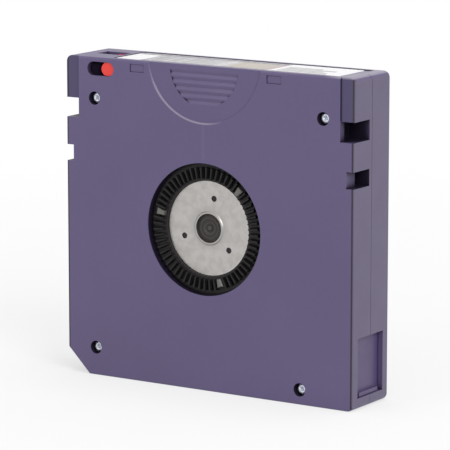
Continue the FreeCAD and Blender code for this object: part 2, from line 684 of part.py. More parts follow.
def reel_hub():
    """Return the hub in one moulding: web, barrel, lower flange, drive teeth and lock teeth."""
    boss, groove = PLATE_FACE + 0.25, PLATE_FACE + 0.6
    profile = [(0, boss), (0.7, boss), (0.9, groove), (1.9, groove), (2.1, boss), (3.3, boss), (3.5, groove),
               (PLATE_BORE - SINK, groove), (PLATE_BORE - SINK, PLATE_BACK),
               (PLATE_RADIUS + SINK, PLATE_BACK), (PLATE_RADIUS + SINK, DRIVE_TOOTH_ROOT),
               (DRIVE_RING_RADIUS, DRIVE_TOOTH_ROOT),
               (DRIVE_RING_RADIUS, REEL_FLOOR), (FLANGE_RADIUS, REEL_FLOOR), (FLANGE_RADIUS, FLANGE_FACE),
               (BARREL_RADIUS, FLANGE_FACE), (BARREL_RADIUS, UPPER_FLANGE_FACE),
               (SPIGOT_RADIUS, UPPER_FLANGE_FACE), (SPIGOT_RADIUS, UPPER_FLANGE_FACE + SPIGOT_HEIGHT),
               (BARREL_BORE, UPPER_FLANGE_FACE + SPIGOT_HEIGHT), (BARREL_BORE, FLANGE_FACE),
               (LOCK_RADII[1] + SINK, FLANGE_FACE),
               (LOCK_RADII[1] + SINK, LOCK_RING), (LOCK_RADII[0] - SINK, LOCK_RING),
               (LOCK_RADII[0] - SINK, FLANGE_FACE), (0, FLANGE_FACE)]
    hub = turned(profile)
    one_tooth = 360 / DRIVE_TOOTH_COUNT
    arm_slot = ARM_WIDTH + 4 * LEG_CLEARANCE
    arm_gap = math.degrees(arm_slot / LOCK_RADII[0]) + LOCK_TOOTH_WIDTH
    drive_tooth = face_tooth(DRIVE_TOOTH_RADII, DRIVE_TOOTH_WIDTH, DRIVE_TOOTH_DRAFT,
                             DRIVE_TOOTH_ROOT + SINK, DRIVE_TOOTH_TIP)
    lock_tooth = face_tooth(LOCK_RADII, LOCK_TOOTH_WIDTH, LOCK_TOOTH_DRAFT, LOCK_RING - SINK, LOCK_TOOTH_TIP)
    drive = crown(drive_tooth, DRIVE_TOOTH_COUNT, DRIVE_TOOTH_START, LEG_ANGLES, one_tooth)
    lock = crown(lock_tooth, LOCK_TOOTH_COUNT, LOCK_TOOTH_START, LEG_ANGLES, arm_gap)
    stake = disc(STAKE_RADIUS, (PLATE_FACE + 0.2, PLATE_BACK + SINK), REEL_X + STAKE_CIRCLE)
    hub = hub.multiFuse(drive + lock + [turn(stake, angle) for angle in STAKE_ANGLES])
    slot = spoke((LOCK_RADII[0] - OUTSIDE / 2, LOCK_RADII[1] + OUTSIDE / 2),
                 (FLANGE_FACE, LOCK_TOOTH_TIP + SINK), arm_slot)
    hole = leg_block(LEG_CLEARANCE, (0, FLANGE_FACE + SINK))
    return hub.cut([turn(cutter, angle) for cutter in (slot, hole) for angle in LEG_ANGLES])


def upper_flange():
    """Return the loose flange that is welded onto the barrel's spigot."""
    back = UPPER_FLANGE_FACE + FLANGE_THICKNESS - 0.3
    return ring(FLANGE_RADIUS, SPIGOT_RADIUS, (UPPER_FLANGE_FACE, back))


def clutch_plate():
    """Return the steel plate in the hub's face, with a raised rim round its bore."""
    rim = PLATE_BORE + 0.5
    profile = [(PLATE_BORE, PLATE_FACE - PLATE_RIM), (rim, PLATE_FACE - PLATE_RIM),
               (rim + PLATE_RIM, PLATE_FACE), (PLATE_RADIUS, PLATE_FACE),
               (PLATE_RADIUS, PLATE_BACK), (PLATE_BORE, PLATE_BACK)]
    hole = disc(STAKE_HOLE, (0, PLATE_BACK + SINK), REEL_X + STAKE_CIRCLE)
    return turned(profile).cut([turn(hole, angle) for angle in STAKE_ANGLES])


def release_member():
    """Return the three-legged spider that a drive pushes in to lift the brake."""
    top = SPIDER_FLOOR + ARM_THICKNESS
    dome_top = BRAKE_FACE - REEL_PLAY
    centre = turned([(0, SPIDER_FLOOR), (SPIDER_RADIUS, SPIDER_FLOOR), (SPIDER_RADIUS, top),
                     (DOME_RADIUS, top), (DOME_RADIUS - 0.9, dome_top - 0.2), (0, dome_top)])
    arm = spoke((DOME_RADIUS + 1.0, LEG_CIRCLE + LEG_LENGTH / 2), (SPIDER_FLOOR, top), ARM_WIDTH)
    leg = leg_block(0.0, (LEG_TIP, SPIDER_FLOOR + SINK))
    leg = leg.makeChamfer(0.3, [edge for edge in leg.Edges if face_edge_at(LEG_TIP)(edge)])
    limb = arm.fuse(leg)
    return centre.multiFuse([turn(limb, angle) for angle in LEG_ANGLES]).removeSplitter()


def brake():
    """Return the brake: a toothed disc on a stem whose two wings run in the post's slots."""
    profile = [(0, BRAKE_FACE), (BRAKE_RADIUS, BRAKE_FACE), (BRAKE_RADIUS, BRAKE_BACK),
               (BRAKE_STEM_RADIUS, BRAKE_BACK), (BRAKE_STEM_RADIUS, BRAKE_STEM_TOP), (0, BRAKE_STEM_TOP)]
    width, reach, top = BRAKE_WING
    wings = spoke((-reach, reach), (BRAKE_BACK - SINK, top), width)
    tooth = face_tooth(LOCK_RADII, LOCK_TOOTH_WIDTH, LOCK_TOOTH_DRAFT,
                       BRAKE_FACE + SINK, LOCK_RING + REEL_PLAY)
    start = LOCK_TOOTH_START + 180.0 / LOCK_TOOTH_COUNT
    return turned(profile).multiFuse([wings] + crown(tooth, LOCK_TOOTH_COUNT, start, (), 0.0))


def tape_pack():
    """Return the wound tape as one closed roll on the barrel."""
    return ring(PACK_RADIUS, BARREL_RADIUS, (PACK_LOW, PACK_HIGH))


def lower_pin_clip():
    """Return the clip round the lower tip of the leader pin."""
    end = PACK_LOW - SINK - PIN_FLANGE - REEL_PLAY
    return pin_clip((end - PIN_TIP, end))


def upper_pin_clip():
    """Return the clip round the upper tip of the leader pin."""
    start = PACK_HIGH + SINK + PIN_FLANGE + REEL_PLAY
    return pin_clip((start, start + PIN_TIP))


SUBPARTS = (lower_shell, upper_shell, case_screws, rear_label, write_protect_tab, memory_chip,
            leader_pin, tape_clip, lower_pin_clip, upper_pin_clip, leader_tape, access_door,
            door_spring, reel_hub, upper_flange, clutch_plate, release_member, brake,
            brake_spring, tape_pack)


def main():
    """Build each sub-part and write it to its own file."""
    os.makedirs("parts", exist_ok=True)
    for make in SUBPARTS:
        shape = make()
        print(f"{make.__name__:18s} volume {shape.Volume:10.2f} solids {len(shape.Solids)} "
              f"valid {shape.isValid()}")
        shape.exportStep(f"parts/{make.__name__}.step")


main()
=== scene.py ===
"""The look of a single-reel data tape cartridge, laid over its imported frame.

The cartridge stands on its insertion edge. X runs across it, Y through its thickness and Z along
its length. The face with the reel's opening looks along -Y, and the label is on top.
"""

import logging
import math
from dataclasses import dataclass
from enum import Enum
from functools import cached_property
from typing import Sequence

import bmesh
import bpy
from mathutils import Matrix, Vector


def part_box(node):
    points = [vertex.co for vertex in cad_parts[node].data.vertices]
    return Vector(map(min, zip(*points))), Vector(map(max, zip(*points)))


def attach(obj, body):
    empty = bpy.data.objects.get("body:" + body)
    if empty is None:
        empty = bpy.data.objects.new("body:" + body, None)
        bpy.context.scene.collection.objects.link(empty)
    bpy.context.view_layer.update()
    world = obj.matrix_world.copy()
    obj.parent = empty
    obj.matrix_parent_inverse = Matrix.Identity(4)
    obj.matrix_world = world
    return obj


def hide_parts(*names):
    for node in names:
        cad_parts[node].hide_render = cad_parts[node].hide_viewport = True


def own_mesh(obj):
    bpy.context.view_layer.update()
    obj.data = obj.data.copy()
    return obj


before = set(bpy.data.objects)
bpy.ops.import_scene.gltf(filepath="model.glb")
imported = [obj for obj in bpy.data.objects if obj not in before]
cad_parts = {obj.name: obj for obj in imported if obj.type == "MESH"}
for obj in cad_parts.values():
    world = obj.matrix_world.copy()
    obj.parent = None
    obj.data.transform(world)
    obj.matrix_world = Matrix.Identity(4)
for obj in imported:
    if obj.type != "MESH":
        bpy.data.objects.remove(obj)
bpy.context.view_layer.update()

MM = 0.001
FACE_Y = -10.75
LOG = logging.getLogger("cartridge")

Colour = tuple[int, int, int]
Light = tuple[float, float, float, float]
Socket = bpy.types.NodeSocket
Value = Socket | float


def middle_of(node: str) -> Vector:
    """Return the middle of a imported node's box, in metres."""
    low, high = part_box(node)
    return (Vector(low) + Vector(high)) / 2


REEL_MIDDLE = middle_of("upper_flange")


def linear(colour: Colour, scale: float = 1.0) -> Light:
    """Turn a colour in 8-bit sRGB into the linear RGBA that a shader takes.

    Args:
        colour: Red, green and blue from 0 to 255.
        scale: How much of the colour's light is kept.

    Returns:
        Red, green, blue and an alpha of 1, in linear light.
    """
    parts = [value / 255 for value in colour]
    light = [value / 12.92 if value <= 0.04045 else ((value + 0.055) / 1.055) ** 2.4 for value in parts]
    return (*(value * scale for value in light), 1.0)


def place(x: float, depth: float, z: float) -> Vector:
    """Return a point in metres from X, the depth below the hub face and Z, in millimetres."""
    return Vector((x, FACE_Y + depth, z)) * MM


class NodeSheet:
    """A node tree that is laid one node after another."""

    def __init__(self, net: bpy.types.NodeTree) -> None:
        """Take the tree to be laid."""
        self.net = net

    def add(self, kind: str, inputs: dict | None = None, **settings: object) -> bpy.types.Node:
        """Add a node.

        Args:
            kind: The node's type name.
            inputs: What each of its inputs gets, by name or number: a socket or a plain value.
            settings: The node's own properties.

        Returns:
            The new node.
        """
        node = self.net.nodes.new(kind)
        for name, value in settings.items():
            setattr(node, name, value)
        for key, value in (inputs or {}).items():
            if isinstance(value, Socket):
                self.net.links.new(value, node.inputs[key])
            else:
                node.inputs[key].default_value = value
        return node

    def out(self, kind: str, inputs: dict | None = None, **settings: object) -> Socket:
        """Add a node, as add does, and return its first output."""
        return self.add(kind, inputs, **settings).outputs[0]

    def math(self, operation: str, first: Value, second: Value = 0.0) -> Socket:
        """Return the result of a sum on one or two values, each a socket or a number."""
        return self.out("ShaderNodeMath", {0: first, 1: second}, operation=operation)

    def times(self, first: Value, second: Value) -> Socket:
        """Return the product of two values."""
        return self.math("MULTIPLY", first, second)


def put(name: str, data: bpy.types.ID) -> bpy.types.Object:
    """Return a new object at the origin, in the scene, that shows a mesh, a lamp or a camera."""
    thing = bpy.data.objects.new(name, data)
    bpy.context.scene.collection.objects.link(thing)
    return thing


class SurfaceSheet(NodeSheet):
    """A material whose nodes are laid one after another."""

    def __init__(self, name: str) -> None:
        """Start a material of that name with its one shader."""
        self.material = bpy.data.materials.new(name)
        self.material.use_nodes = True
        super().__init__(self.material.node_tree)
        self.shader = self.net.nodes["Principled BSDF"]
        self.coordinates = self.add("ShaderNodeTexCoord").outputs["Object"]

    def noise(self, size: float, detail: float = 2.0) -> Socket:
        """Return a noise from 0 to 1, with lumps that many millimetres apart."""
        inputs = {"Vector": self.coordinates, "Scale": 1 / (size * MM), "Detail": detail}
        return self.out("ShaderNodeTexNoise", inputs)

    def line_noise(self, along: Socket, detail: float) -> Socket:
        """Return a noise from 0 to 1 that changes with one value only."""
        inputs = {"W": along, "Scale": 1.0, "Detail": detail}
        return self.out("ShaderNodeTexNoise", inputs, noise_dimensions="1D")

    def spread(self, value: Socket, low: float, high: float, start: float = 0.3, end: float = 0.7) -> Socket:
        """Return a value stretched from start..end to low..high, held at both ends."""
        inputs = {0: value, 1: start, 2: end, 3: low, 4: high}
        return self.out("ShaderNodeMapRange", inputs)

    def blend(self, factor: Value, first: Socket | Light, second: Socket | Light) -> Socket:
        """Return the mix of two colours, each a socket or RGBA."""
        return self.add("ShaderNodeMix", {0: factor, 6: first, 7: second}, data_type="RGBA").outputs[2]

    def veil(self, tone: Socket | Light, colour: Socket | Light, mask: Socket, share: float) -> Socket:
        """Return a tone under another colour, which hides a share of it where the mask is 1."""
        return self.blend(self.times(mask, share), tone, colour)

    @cached_property
    def place(self) -> tuple[Socket, Socket, Socket]:
        """X, the depth below the hub face and Z, in millimetres."""
        mm = self.add("ShaderNodeVectorMath", {0: self.coordinates, "Scale": 1 / MM}, operation="SCALE")
        x, y, z = self.add("ShaderNodeSeparateXYZ", {0: mm.outputs[0]}).outputs
        return x, self.math("SUBTRACT", y, FACE_Y), z

    def within(self, value: Socket, low: float, high: float, soft: float) -> Socket:
        """Return a mask that is 1 where a value lies between two others, with soft ends.

        Args:
            value: The value that is looked at.
            low: Where the mask begins.
            high: Where it ends.
            soft: How wide each of its ends is.

        Returns:
            The mask.
        """
        rise = self.spread(value, 0.0, 1.0, low - soft / 2, low + soft / 2)
        fall = self.spread(value, 1.0, 0.0, high - soft / 2, high + soft / 2)
        return self.times(rise, fall)

    def radius(self) -> Socket:
        """Return the distance from the reel's axis, in millimetres."""
        spot: Socket = self.coordinates
        for operation, by in (("SUBTRACT", REEL_MIDDLE), ("MULTIPLY", (1 / MM, 0, 1 / MM))):
            spot = self.out("ShaderNodeVectorMath", {0: spot, 1: by}, operation=operation)
        return self.add("ShaderNodeVectorMath", {0: spot}, operation="LENGTH").outputs["Value"]

    def edges(self, width: float) -> Socket:
        """Return a mask that is 1 on edges and 0 away from them, that many millimetres wide."""
        normal = self.add("ShaderNodeNewGeometry").outputs["Normal"]
        inputs = {0: self.soft_corners(width), 1: normal}
        across = self.add("ShaderNodeVectorMath", inputs, operation="DOT_PRODUCT").outputs["Value"]
        return self.spread(across, 1.0, 0.0, 0.75, 0.98)

    def hollows(self, reach: float, start: float, end: float) -> Socket:
        """Return a mask that is 1 deep in one of the piece's own hollows and 0 in the open.

        Args:
            reach: How far away a wall still shades the surface, in millimetres.
            start: The open share of the sky at which the mask is 0.
            end: The open share at which it is 1.

        Returns:
            The mask.
        """
        inputs = {"Distance": reach * MM}
        sky = self.add("ShaderNodeAmbientOcclusion", inputs, samples=8, only_local=True).outputs["AO"]
        return self.spread(sky, 1.0, 0.0, end, start)

    def relief(self, height: Socket, depth: float, strength: float = 1.0,
               below: Socket | None = None) -> Socket:
        """Return a normal bent by a height map.

        Args:
            height: The height map.
            depth: Its full range, in millimetres.
            strength: How much of it is felt.
            below: The normal that it lies on, if it isn't the surface's own.

        Returns:
            The bent normal.
        """
        inputs = {"Height": height, "Distance": depth * MM, "Strength": strength}
        if below is not None:
            inputs["Normal"] = below
        return self.out("ShaderNodeBump", inputs)

    def soft_corners(self, radius: float) -> Socket:
        """Return a normal that rounds every edge over that many millimetres."""
        return self.out("ShaderNodeBevel", {"Radius": radius * MM}, samples=4)

    def finish(self, **sockets: object) -> bpy.types.Material:
        """Give the shader its inputs.

        Args:
            sockets: What each input gets, by its name with spaces as underscores.

        Returns:
            The finished material.
        """
        for name, value in sockets.items():
            socket = self.shader.inputs[name.replace("_", " ")]
            if isinstance(value, Socket):
                self.net.links.new(value, socket)
            else:
                socket.default_value = value
        return self.material


@dataclass(frozen=True)
class SurfaceFinish:
    """What every finish has: a name and a main colour."""

    name: str
    colour: Colour

    def tones(self, *gains: float) -> list[Light]:
        """Return the main colour, then the same colour with its light at each of those gains."""
        return [linear(self.colour, gain) for gain in (1.0, *gains)]

    def material(self) -> bpy.types.Material:
        """Return the finish as a material."""
        raise NotImplementedError


@dataclass(frozen=True)
class CaseMoulding(SurfaceFinish):
    """The case's matt plastic with a flow line and scuffs, and painted shade in bands, hollows and corners,
    painted highlights on edges and grip rim, painted sheen on sides and right end.
    """

    pale: float = 1.7
    deep: float = 0.9
    cloud: float = 30.0
    speck: float = 1.1
    speck_share: float = 0.06
    scuff_share: float = 0.35
    flow_share: float = 0.2
    edge_wear_and_highlight_width: float = 0.3
    edge_wear_and_highlight_patch: float = 2.6
    corner_shade_share: float = 0.95
    rim_highlight_share: float = 0.5
    side_sheen_share: float = 0.45
    hollow_share: float = 0.92
    hollow_reach: float = 9.0
    side_start: tuple[float, float] = (52.4, 52.6)
    end_sheen_across: tuple[float, float] = (42.0, 48.0)
    end_sheen_start: tuple[float, float] = (101.4, 101.7)
    wall_depths: tuple[float, float] = (0.3, 5.0)
    wall_width: float = 0.35
    soft_edge: float = 0.12
    band_start: tuple[float, float] = (47.9, 82.4)
    painted_band_shade: Colour = (64, 55, 91)
    hollow_shade: Colour = (20, 15, 24)
    painted_highlight_tone: Colour = (168, 164, 176)
    painted_side_sheen: Colour = (96, 90, 104)
    painted_corner_shade_line: tuple[float, float] = (51.95, 52.5)
    flow_line: tuple[float, float, float] = (-1.0, 72.5, 83.5)
    grip_rim: tuple[float, float, float] = (-1.0, 105.0, 20.9)
    opening_rim: float = 20.6
    face_depth: float = 0.9
    roughness: float = 0.42
    grain: float = 0.24

    def material(self) -> bpy.types.Material:
        """Return the case's plastic as a material."""
        sheet = SurfaceSheet(self.name)
        base, pale, deep = self.tones(self.pale, self.deep)
        dark, rim = linear(self.hollow_shade), linear(self.painted_highlight_tone)
        x, depth, _ = sheet.place
        side = sheet.math("ABSOLUTE", x)
        tone = sheet.blend(sheet.spread(sheet.noise(self.cloud, 3.0), 0.0, 1.0), deep, base)
        specks = sheet.spread(sheet.noise(self.speck, 4.0), 0.0, self.speck_share, 0.45, 0.75)
        tone = sheet.blend(specks, tone, pale)
        tone = sheet.veil(tone, pale, self.scuffs(sheet), self.scuff_share)
        tone = sheet.veil(tone, pale, self.flow(sheet), self.flow_share)
        # Pale edges in patches: partly rubbed wear and partly a painted highlight along the rounded edges.
        patches = sheet.spread(sheet.noise(self.edge_wear_and_highlight_patch, 3.0), 0.15, 0.45)
        tone = sheet.blend(sheet.times(sheet.edges(self.edge_wear_and_highlight_width), patches), tone, pale)
        # Painted shade: the side bands get a darker colour that stands in for their darker reflection.
        tone = sheet.blend(self.band(sheet), tone, linear(self.painted_band_shade))
        # Painted shade: a dark line along the upright front corners stands in for their dark reflection.
        line = sheet.times(sheet.within(side, *self.painted_corner_shade_line, 0.2), sheet.within(depth, -1, 1.2, 0.6))
        tone = sheet.veil(tone, dark, line, self.corner_shade_share)
        # Painted highlight: a pale line along the lower left of the grip's rim, where light catches it.
        tone = sheet.veil(tone, rim, self.painted_rim_highlight(sheet), self.rim_highlight_share)
        # Painted sheen: the two narrow sides get a greyer, lighter colour that stands in for light falling
        # on them.
        side_sheen = sheet.spread(side, 0.0, self.side_sheen_share, *self.side_start)
        tone = sheet.blend(side_sheen, tone, linear(self.painted_side_sheen))
        # Painted sheen: the top face towards its right end gets a paler colour that stands in for a
        # reflection.
        end = sheet.spread(sheet.place[2], 0.0, 1.0, *self.end_sheen_start)
        end = sheet.times(sheet.spread(x, 0.0, 0.5, *self.end_sheen_across), end)
        tone = sheet.blend(end, tone, rim)
        # Painted shade: the wall of the reel's opening and the piece's own hollows are darkened, with less
        # gloss, where little light reaches.
        wall = sheet.within(sheet.radius(), self.opening_rim, self.opening_rim + self.wall_width, 0.1)
        wall = sheet.times(wall, sheet.within(depth, *self.wall_depths, 0.4))
        hollow = sheet.math("MAXIMUM", sheet.hollows(self.hollow_reach, 0.8, 0.5), wall)
        tone = sheet.veil(tone, dark, hollow, self.hollow_share)
        normal = sheet.relief(sheet.noise(self.grain, 2.0), 0.006, 1.0, sheet.soft_corners(self.soft_edge))
        rough = sheet.spread(sheet.noise(9.0, 4.0), self.roughness - 0.05, self.roughness + 0.05)
        gloss = sheet.spread(hollow, 0.5, 0.12, 0.0, 1.0)
        return sheet.finish(Base_Color=tone, Roughness=rough, Normal=normal, Specular_IOR_Level=gloss)

    def band(self, sheet: SurfaceSheet) -> Socket:
        """Return the mask of the two bands that a picker's fingers hold.

        Args:
            sheet: The material being laid.

        Returns:
            The mask.
        """
        x, depth, z = sheet.place
        out, up = self.band_start
        across = sheet.spread(sheet.math("ABSOLUTE", x), 0.0, 1.0, out - 0.1, out + 0.1)
        above = sheet.spread(z, 0.0, 1.0, up - 0.1, up + 0.1)
        face = sheet.spread(depth, 1.0, 0.0, self.face_depth, self.face_depth + 0.1)
        return sheet.times(sheet.times(across, above), face)

    def flow(self, sheet: SurfaceSheet) -> Socket:
        """Return the mask of the faint line where the plastic met itself above the reel's opening.

        Args:
            sheet: The material being laid.

        Returns:
            The mask.
        """
        x, _, z = sheet.place
        middle, low, high = self.flow_line
        wander = sheet.spread(sheet.noise(8.0), -0.3, 0.3)
        across = sheet.within(sheet.math("ADD", x, wander), middle - 0.4, middle + 0.4, 0.7)
        return sheet.times(across, sheet.within(z, low, high, 3.0))

    def painted_rim_highlight(self, sheet: SurfaceSheet) -> Socket:
        """Return the mask of the painted highlight along the lower left of the finger grip's rim.

        Args:
            sheet: The material being laid.

        Returns:
            The mask.
        """
        x, depth, z = sheet.place
        middle_x, middle_z, radius = self.grip_rim
        across, up = sheet.math("SUBTRACT", x, middle_x), sheet.math("SUBTRACT", z, middle_z)
        squares = sheet.math("ADD", sheet.times(across, across), sheet.times(up, up))
        ring = sheet.within(sheet.math("SQRT", squares), radius - 0.25, radius + 0.25, 0.3)
        ring = sheet.times(ring, sheet.within(across, -19.0, 4.0, 6.0))
        ring = sheet.times(ring, sheet.spread(up, 1.0, 0.0, -11.0, -6.0))
        return sheet.times(ring, sheet.spread(depth, 1.0, 0.0, 0.5, 0.6))

    def scuffs(self, sheet: SurfaceSheet) -> Socket:
        """Return the mask of a few short, fine scuffs."""
        stretched = sheet.out("ShaderNodeMapping", {"Vector": sheet.coordinates, "Rotation": (0, 0.9, 0),
                                                    "Scale": (1.0, 1.0, 0.12)})
        inputs = {"Vector": stretched, "Scale": 1 / (0.55 * MM), "Detail": 1.0}
        fine = sheet.out("ShaderNodeTexNoise", inputs)
        patches = sheet.spread(sheet.noise(16.0), 0.0, 1.0, 0.52, 0.7)
        return sheet.times(sheet.spread(fine, 0.0, 1.0, 0.72, 0.8), patches)


@dataclass(frozen=True)
class MouldedPlastic(SurfaceFinish):
    """Plain moulded plastic with a fine matt grain and paler, rubbed edges."""

    roughness: float = 0.4
    grain: float = 0.22
    rubbed: float = 0.15
    gains: tuple[float, float] = (1.6, 0.88)
    gloss: float = 0.5

    def material(self) -> bpy.types.Material:
        """Return the plastic as a material."""
        sheet = SurfaceSheet(self.name)
        base, pale, deep = self.tones(*self.gains)
        tone = sheet.blend(sheet.spread(sheet.noise(6.0, 3.0), 0.0, 1.0), deep, base)
        worn = sheet.times(sheet.edges(0.25), sheet.spread(sheet.noise(1.6, 3.0), 0.3, 1.0))
        tone = sheet.veil(tone, pale, worn, self.rubbed)
        normal = sheet.relief(sheet.noise(self.grain, 2.0), 0.005, 1.0, sheet.soft_corners(0.1))
        rough = sheet.spread(sheet.noise(4.0, 4.0), self.roughness - 0.05, self.roughness + 0.05)
        return sheet.finish(Base_Color=tone, Roughness=rough, Normal=normal, Specular_IOR_Level=self.gloss)


@dataclass(frozen=True)
class HubMoulding(SurfaceFinish):
    """The hub's black plastic, with paler edges on its teeth and a greyer button in the middle, whose rings
    are painted shade.
    """

    button: Colour
    button_radius: float = 4.5
    ring_pitch: float = 1.5
    gain: float = 4.0
    face_depth: float = 4.2

    def material(self) -> bpy.types.Material:
        """Return the hub's plastic as a material."""
        sheet = SurfaceSheet(self.name)
        base, pale = self.tones(self.gain)
        _, depth, _ = sheet.place
        radius = sheet.radius()
        tone = sheet.blend(sheet.spread(sheet.noise(5.0, 3.0), 0.0, 0.12), base, pale)
        tone = sheet.veil(tone, pale, sheet.edges(0.22), 0.08)
        tone = sheet.blend(sheet.spread(depth, 0.0, 0.5, 1.3, 2.5), tone, pale)
        # Painted shade: the button's rings alternate with a darker copy of its colour, standing in for shade
        # in ring grooves.
        rings = sheet.math("SINE", sheet.times(radius, 2 * math.pi / self.ring_pitch))
        painted_groove_shade, button = linear(self.button, 0.4), linear(self.button)
        grey = sheet.blend(sheet.spread(rings, 0.0, 1.0, -0.6, 0.9), painted_groove_shade, button)
        inside = sheet.within(radius, -1, self.button_radius, 0.15)
        inside = sheet.times(inside, sheet.within(depth, 0, self.face_depth, 0.1))
        tone = sheet.blend(inside, tone, grey)
        normal = sheet.relief(sheet.noise(0.3, 2.0), 0.006, 1.0, sheet.soft_corners(0.12))
        rough = sheet.spread(sheet.noise(3.0, 3.0), 0.38, 0.5)
        return sheet.finish(Base_Color=tone, Roughness=rough, Normal=normal, Specular_IOR_Level=0.25)


@dataclass(frozen=True)
class TurnedSteel(SurfaceFinish):
    """Stamped steel with fine rings round the reel's axis, cloudy stains and a painted soft shadow round its
    bore.
    """

    bore_shadow: tuple[float, float] = (5.2, 7.4)
    rim: tuple[float, float] = (14.3, 15.2)
    roughness: float = 0.34
    ring_pitch: float = 0.16
    gains: tuple[float, float] = (0.74, 1.35)

    def material(self) -> bpy.types.Material:
        """Return the steel as a material."""
        sheet = SurfaceSheet(self.name)
        bright, dull, light = self.tones(*self.gains)
        radius = sheet.radius()
        cloud = sheet.spread(sheet.noise(2.6, 6.0), 0.0, 1.0, 0.38, 0.62)
        rings = sheet.line_noise(sheet.times(radius, 1 / self.ring_pitch), 3.0)
        tone = sheet.veil(bright, dull, cloud, 0.5)
        tone = sheet.blend(sheet.spread(rings, 0.0, 0.25), tone, dull)
        # Painted shadow: a soft dull ring round the bore.
        tone = sheet.blend(sheet.spread(radius, 0.8, 0.0, *self.bore_shadow), tone, dull)
        tone = sheet.blend(sheet.spread(radius, 0.0, 0.5, *self.rim), tone, light)
        normal = sheet.relief(rings, 0.004, 1.0, sheet.soft_corners(0.15))
        rough = sheet.spread(cloud, self.roughness, self.roughness + 0.14, 0.0, 1.0)
        return sheet.finish(Base_Color=tone, Metallic=1.0, Roughness=rough, Normal=normal)


@dataclass(frozen=True)
class PlatedSteel(SurfaceFinish):
    """Bright plated steel, as on screws, pins and springs, with fine scuffs."""

    roughness: float = 0.25
    scuff: float = 0.5
    gain: float = 0.75

    def material(self) -> bpy.types.Material:
        """Return the plated steel as a material."""
        sheet = SurfaceSheet(self.name)
        scuffs = sheet.noise(self.scuff, 5.0)
        bright, dull = self.tones(self.gain)
        tone = sheet.blend(sheet.spread(scuffs, 0.0, 1.0, 0.4, 0.7), bright, dull)
        normal = sheet.relief(scuffs, 0.006, 0.6, sheet.soft_corners(0.06))
        rough = sheet.spread(scuffs, self.roughness - 0.06, self.roughness + 0.12)
        return sheet.finish(Base_Color=tone, Metallic=1.0, Roughness=rough, Normal=normal)


@dataclass(frozen=True)
class PrintedPaper(SurfaceFinish):
    """Coated label paper, plain or under a flat field of ink, paler in streaks where the ink is thin."""

    streak: float = 0.0
    gain: float = 0.94
    bare_paper: Colour = (240, 238, 240)
    roughness: float = 0.5

    def material(self) -> bpy.types.Material:
        """Return the paper as a material."""
        sheet = SurfaceSheet(self.name)
        base, shade = self.tones(self.gain)
        fibre = sheet.noise(0.6, 5.0)
        tone = sheet.blend(sheet.spread(fibre, 0.0, 1.0), shade, base)
        tone = sheet.blend(sheet.spread(sheet.noise(14.0, 2.0), 0.0, 0.5), tone, shade)
        across, _, _ = sheet.place
        streaks = sheet.line_noise(sheet.times(across, 0.8), 2.0)
        thin = sheet.spread(streaks, 0.0, self.streak, 0.45, 0.6)
        tone = sheet.blend(thin, tone, linear(self.bare_paper))
        normal = sheet.relief(fibre, 0.004, 0.5)
        rough = sheet.spread(sheet.noise(5.0, 3.0), self.roughness - 0.06, self.roughness + 0.08)
        return sheet.finish(Base_Color=tone, Roughness=rough, Normal=normal, Coat_Weight=0.1,
                            Coat_Roughness=0.3)


@dataclass(frozen=True)
class WoundTape(SurfaceFinish):
    """The side of a roll of tape: dark film in fine rings, a few of them paler."""

    ring_pitch: float = 0.09
    gain: float = 2.8

    def material(self) -> bpy.types.Material:
        """Return the wound film as a material."""
        sheet = SurfaceSheet(self.name)
        base, pale = self.tones(self.gain)
        turns = sheet.times(sheet.radius(), 1 / self.ring_pitch)
        fine = sheet.line_noise(turns, 2.0)
        coarse = sheet.line_noise(sheet.times(turns, 0.07), 2.0)
        tone = sheet.blend(sheet.spread(coarse, 0.0, 0.7, 0.4, 0.7), base, pale)
        tone = sheet.blend(sheet.spread(fine, 0.0, 0.4), tone, pale)
        return sheet.finish(Base_Color=tone, Roughness=sheet.spread(coarse, 0.22, 0.38),
                            Normal=sheet.relief(fine, 0.01, 0.8))


@dataclass(frozen=True)
class CircuitBoard(SurfaceFinish):
    """Green solder mask with paler tracks under it."""

    track_scale: float = 180.0
    gain: float = 2.2

    def material(self) -> bpy.types.Material:
        """Return the board as a material."""
        sheet = SurfaceSheet(self.name)
        base, track = self.tones(self.gain)
        inputs = {"Vector": sheet.coordinates, "Scale": self.track_scale}
        waves = sheet.out("ShaderNodeTexWave", inputs, bands_direction="X")
        lines = sheet.spread(waves, 0.0, 1.0, 0.62, 0.7)
        tone = sheet.blend(lines, base, track)
        tone = sheet.blend(sheet.spread(sheet.noise(2.0, 3.0), 0.0, 0.25), tone, base)
        return sheet.finish(Base_Color=tone, Roughness=sheet.spread(sheet.noise(1.0), 0.25, 0.4),
                            Normal=sheet.relief(lines, 0.02, 0.6))


MADE: dict[str, bpy.types.Material] = {}


def made_once(finish: SurfaceFinish) -> bpy.types.Material:
    """Return a finish's material, made the first time that it is asked for."""
    if finish.name not in MADE:
        MADE[finish.name] = finish.material()
    return MADE[finish.name]


class SurfaceSet(Enum):
    """Named surfaces whose materials are made when they are first asked for."""

    def material(self) -> bpy.types.Material:
        """Return this surface's material."""
        return made_once(self.value)


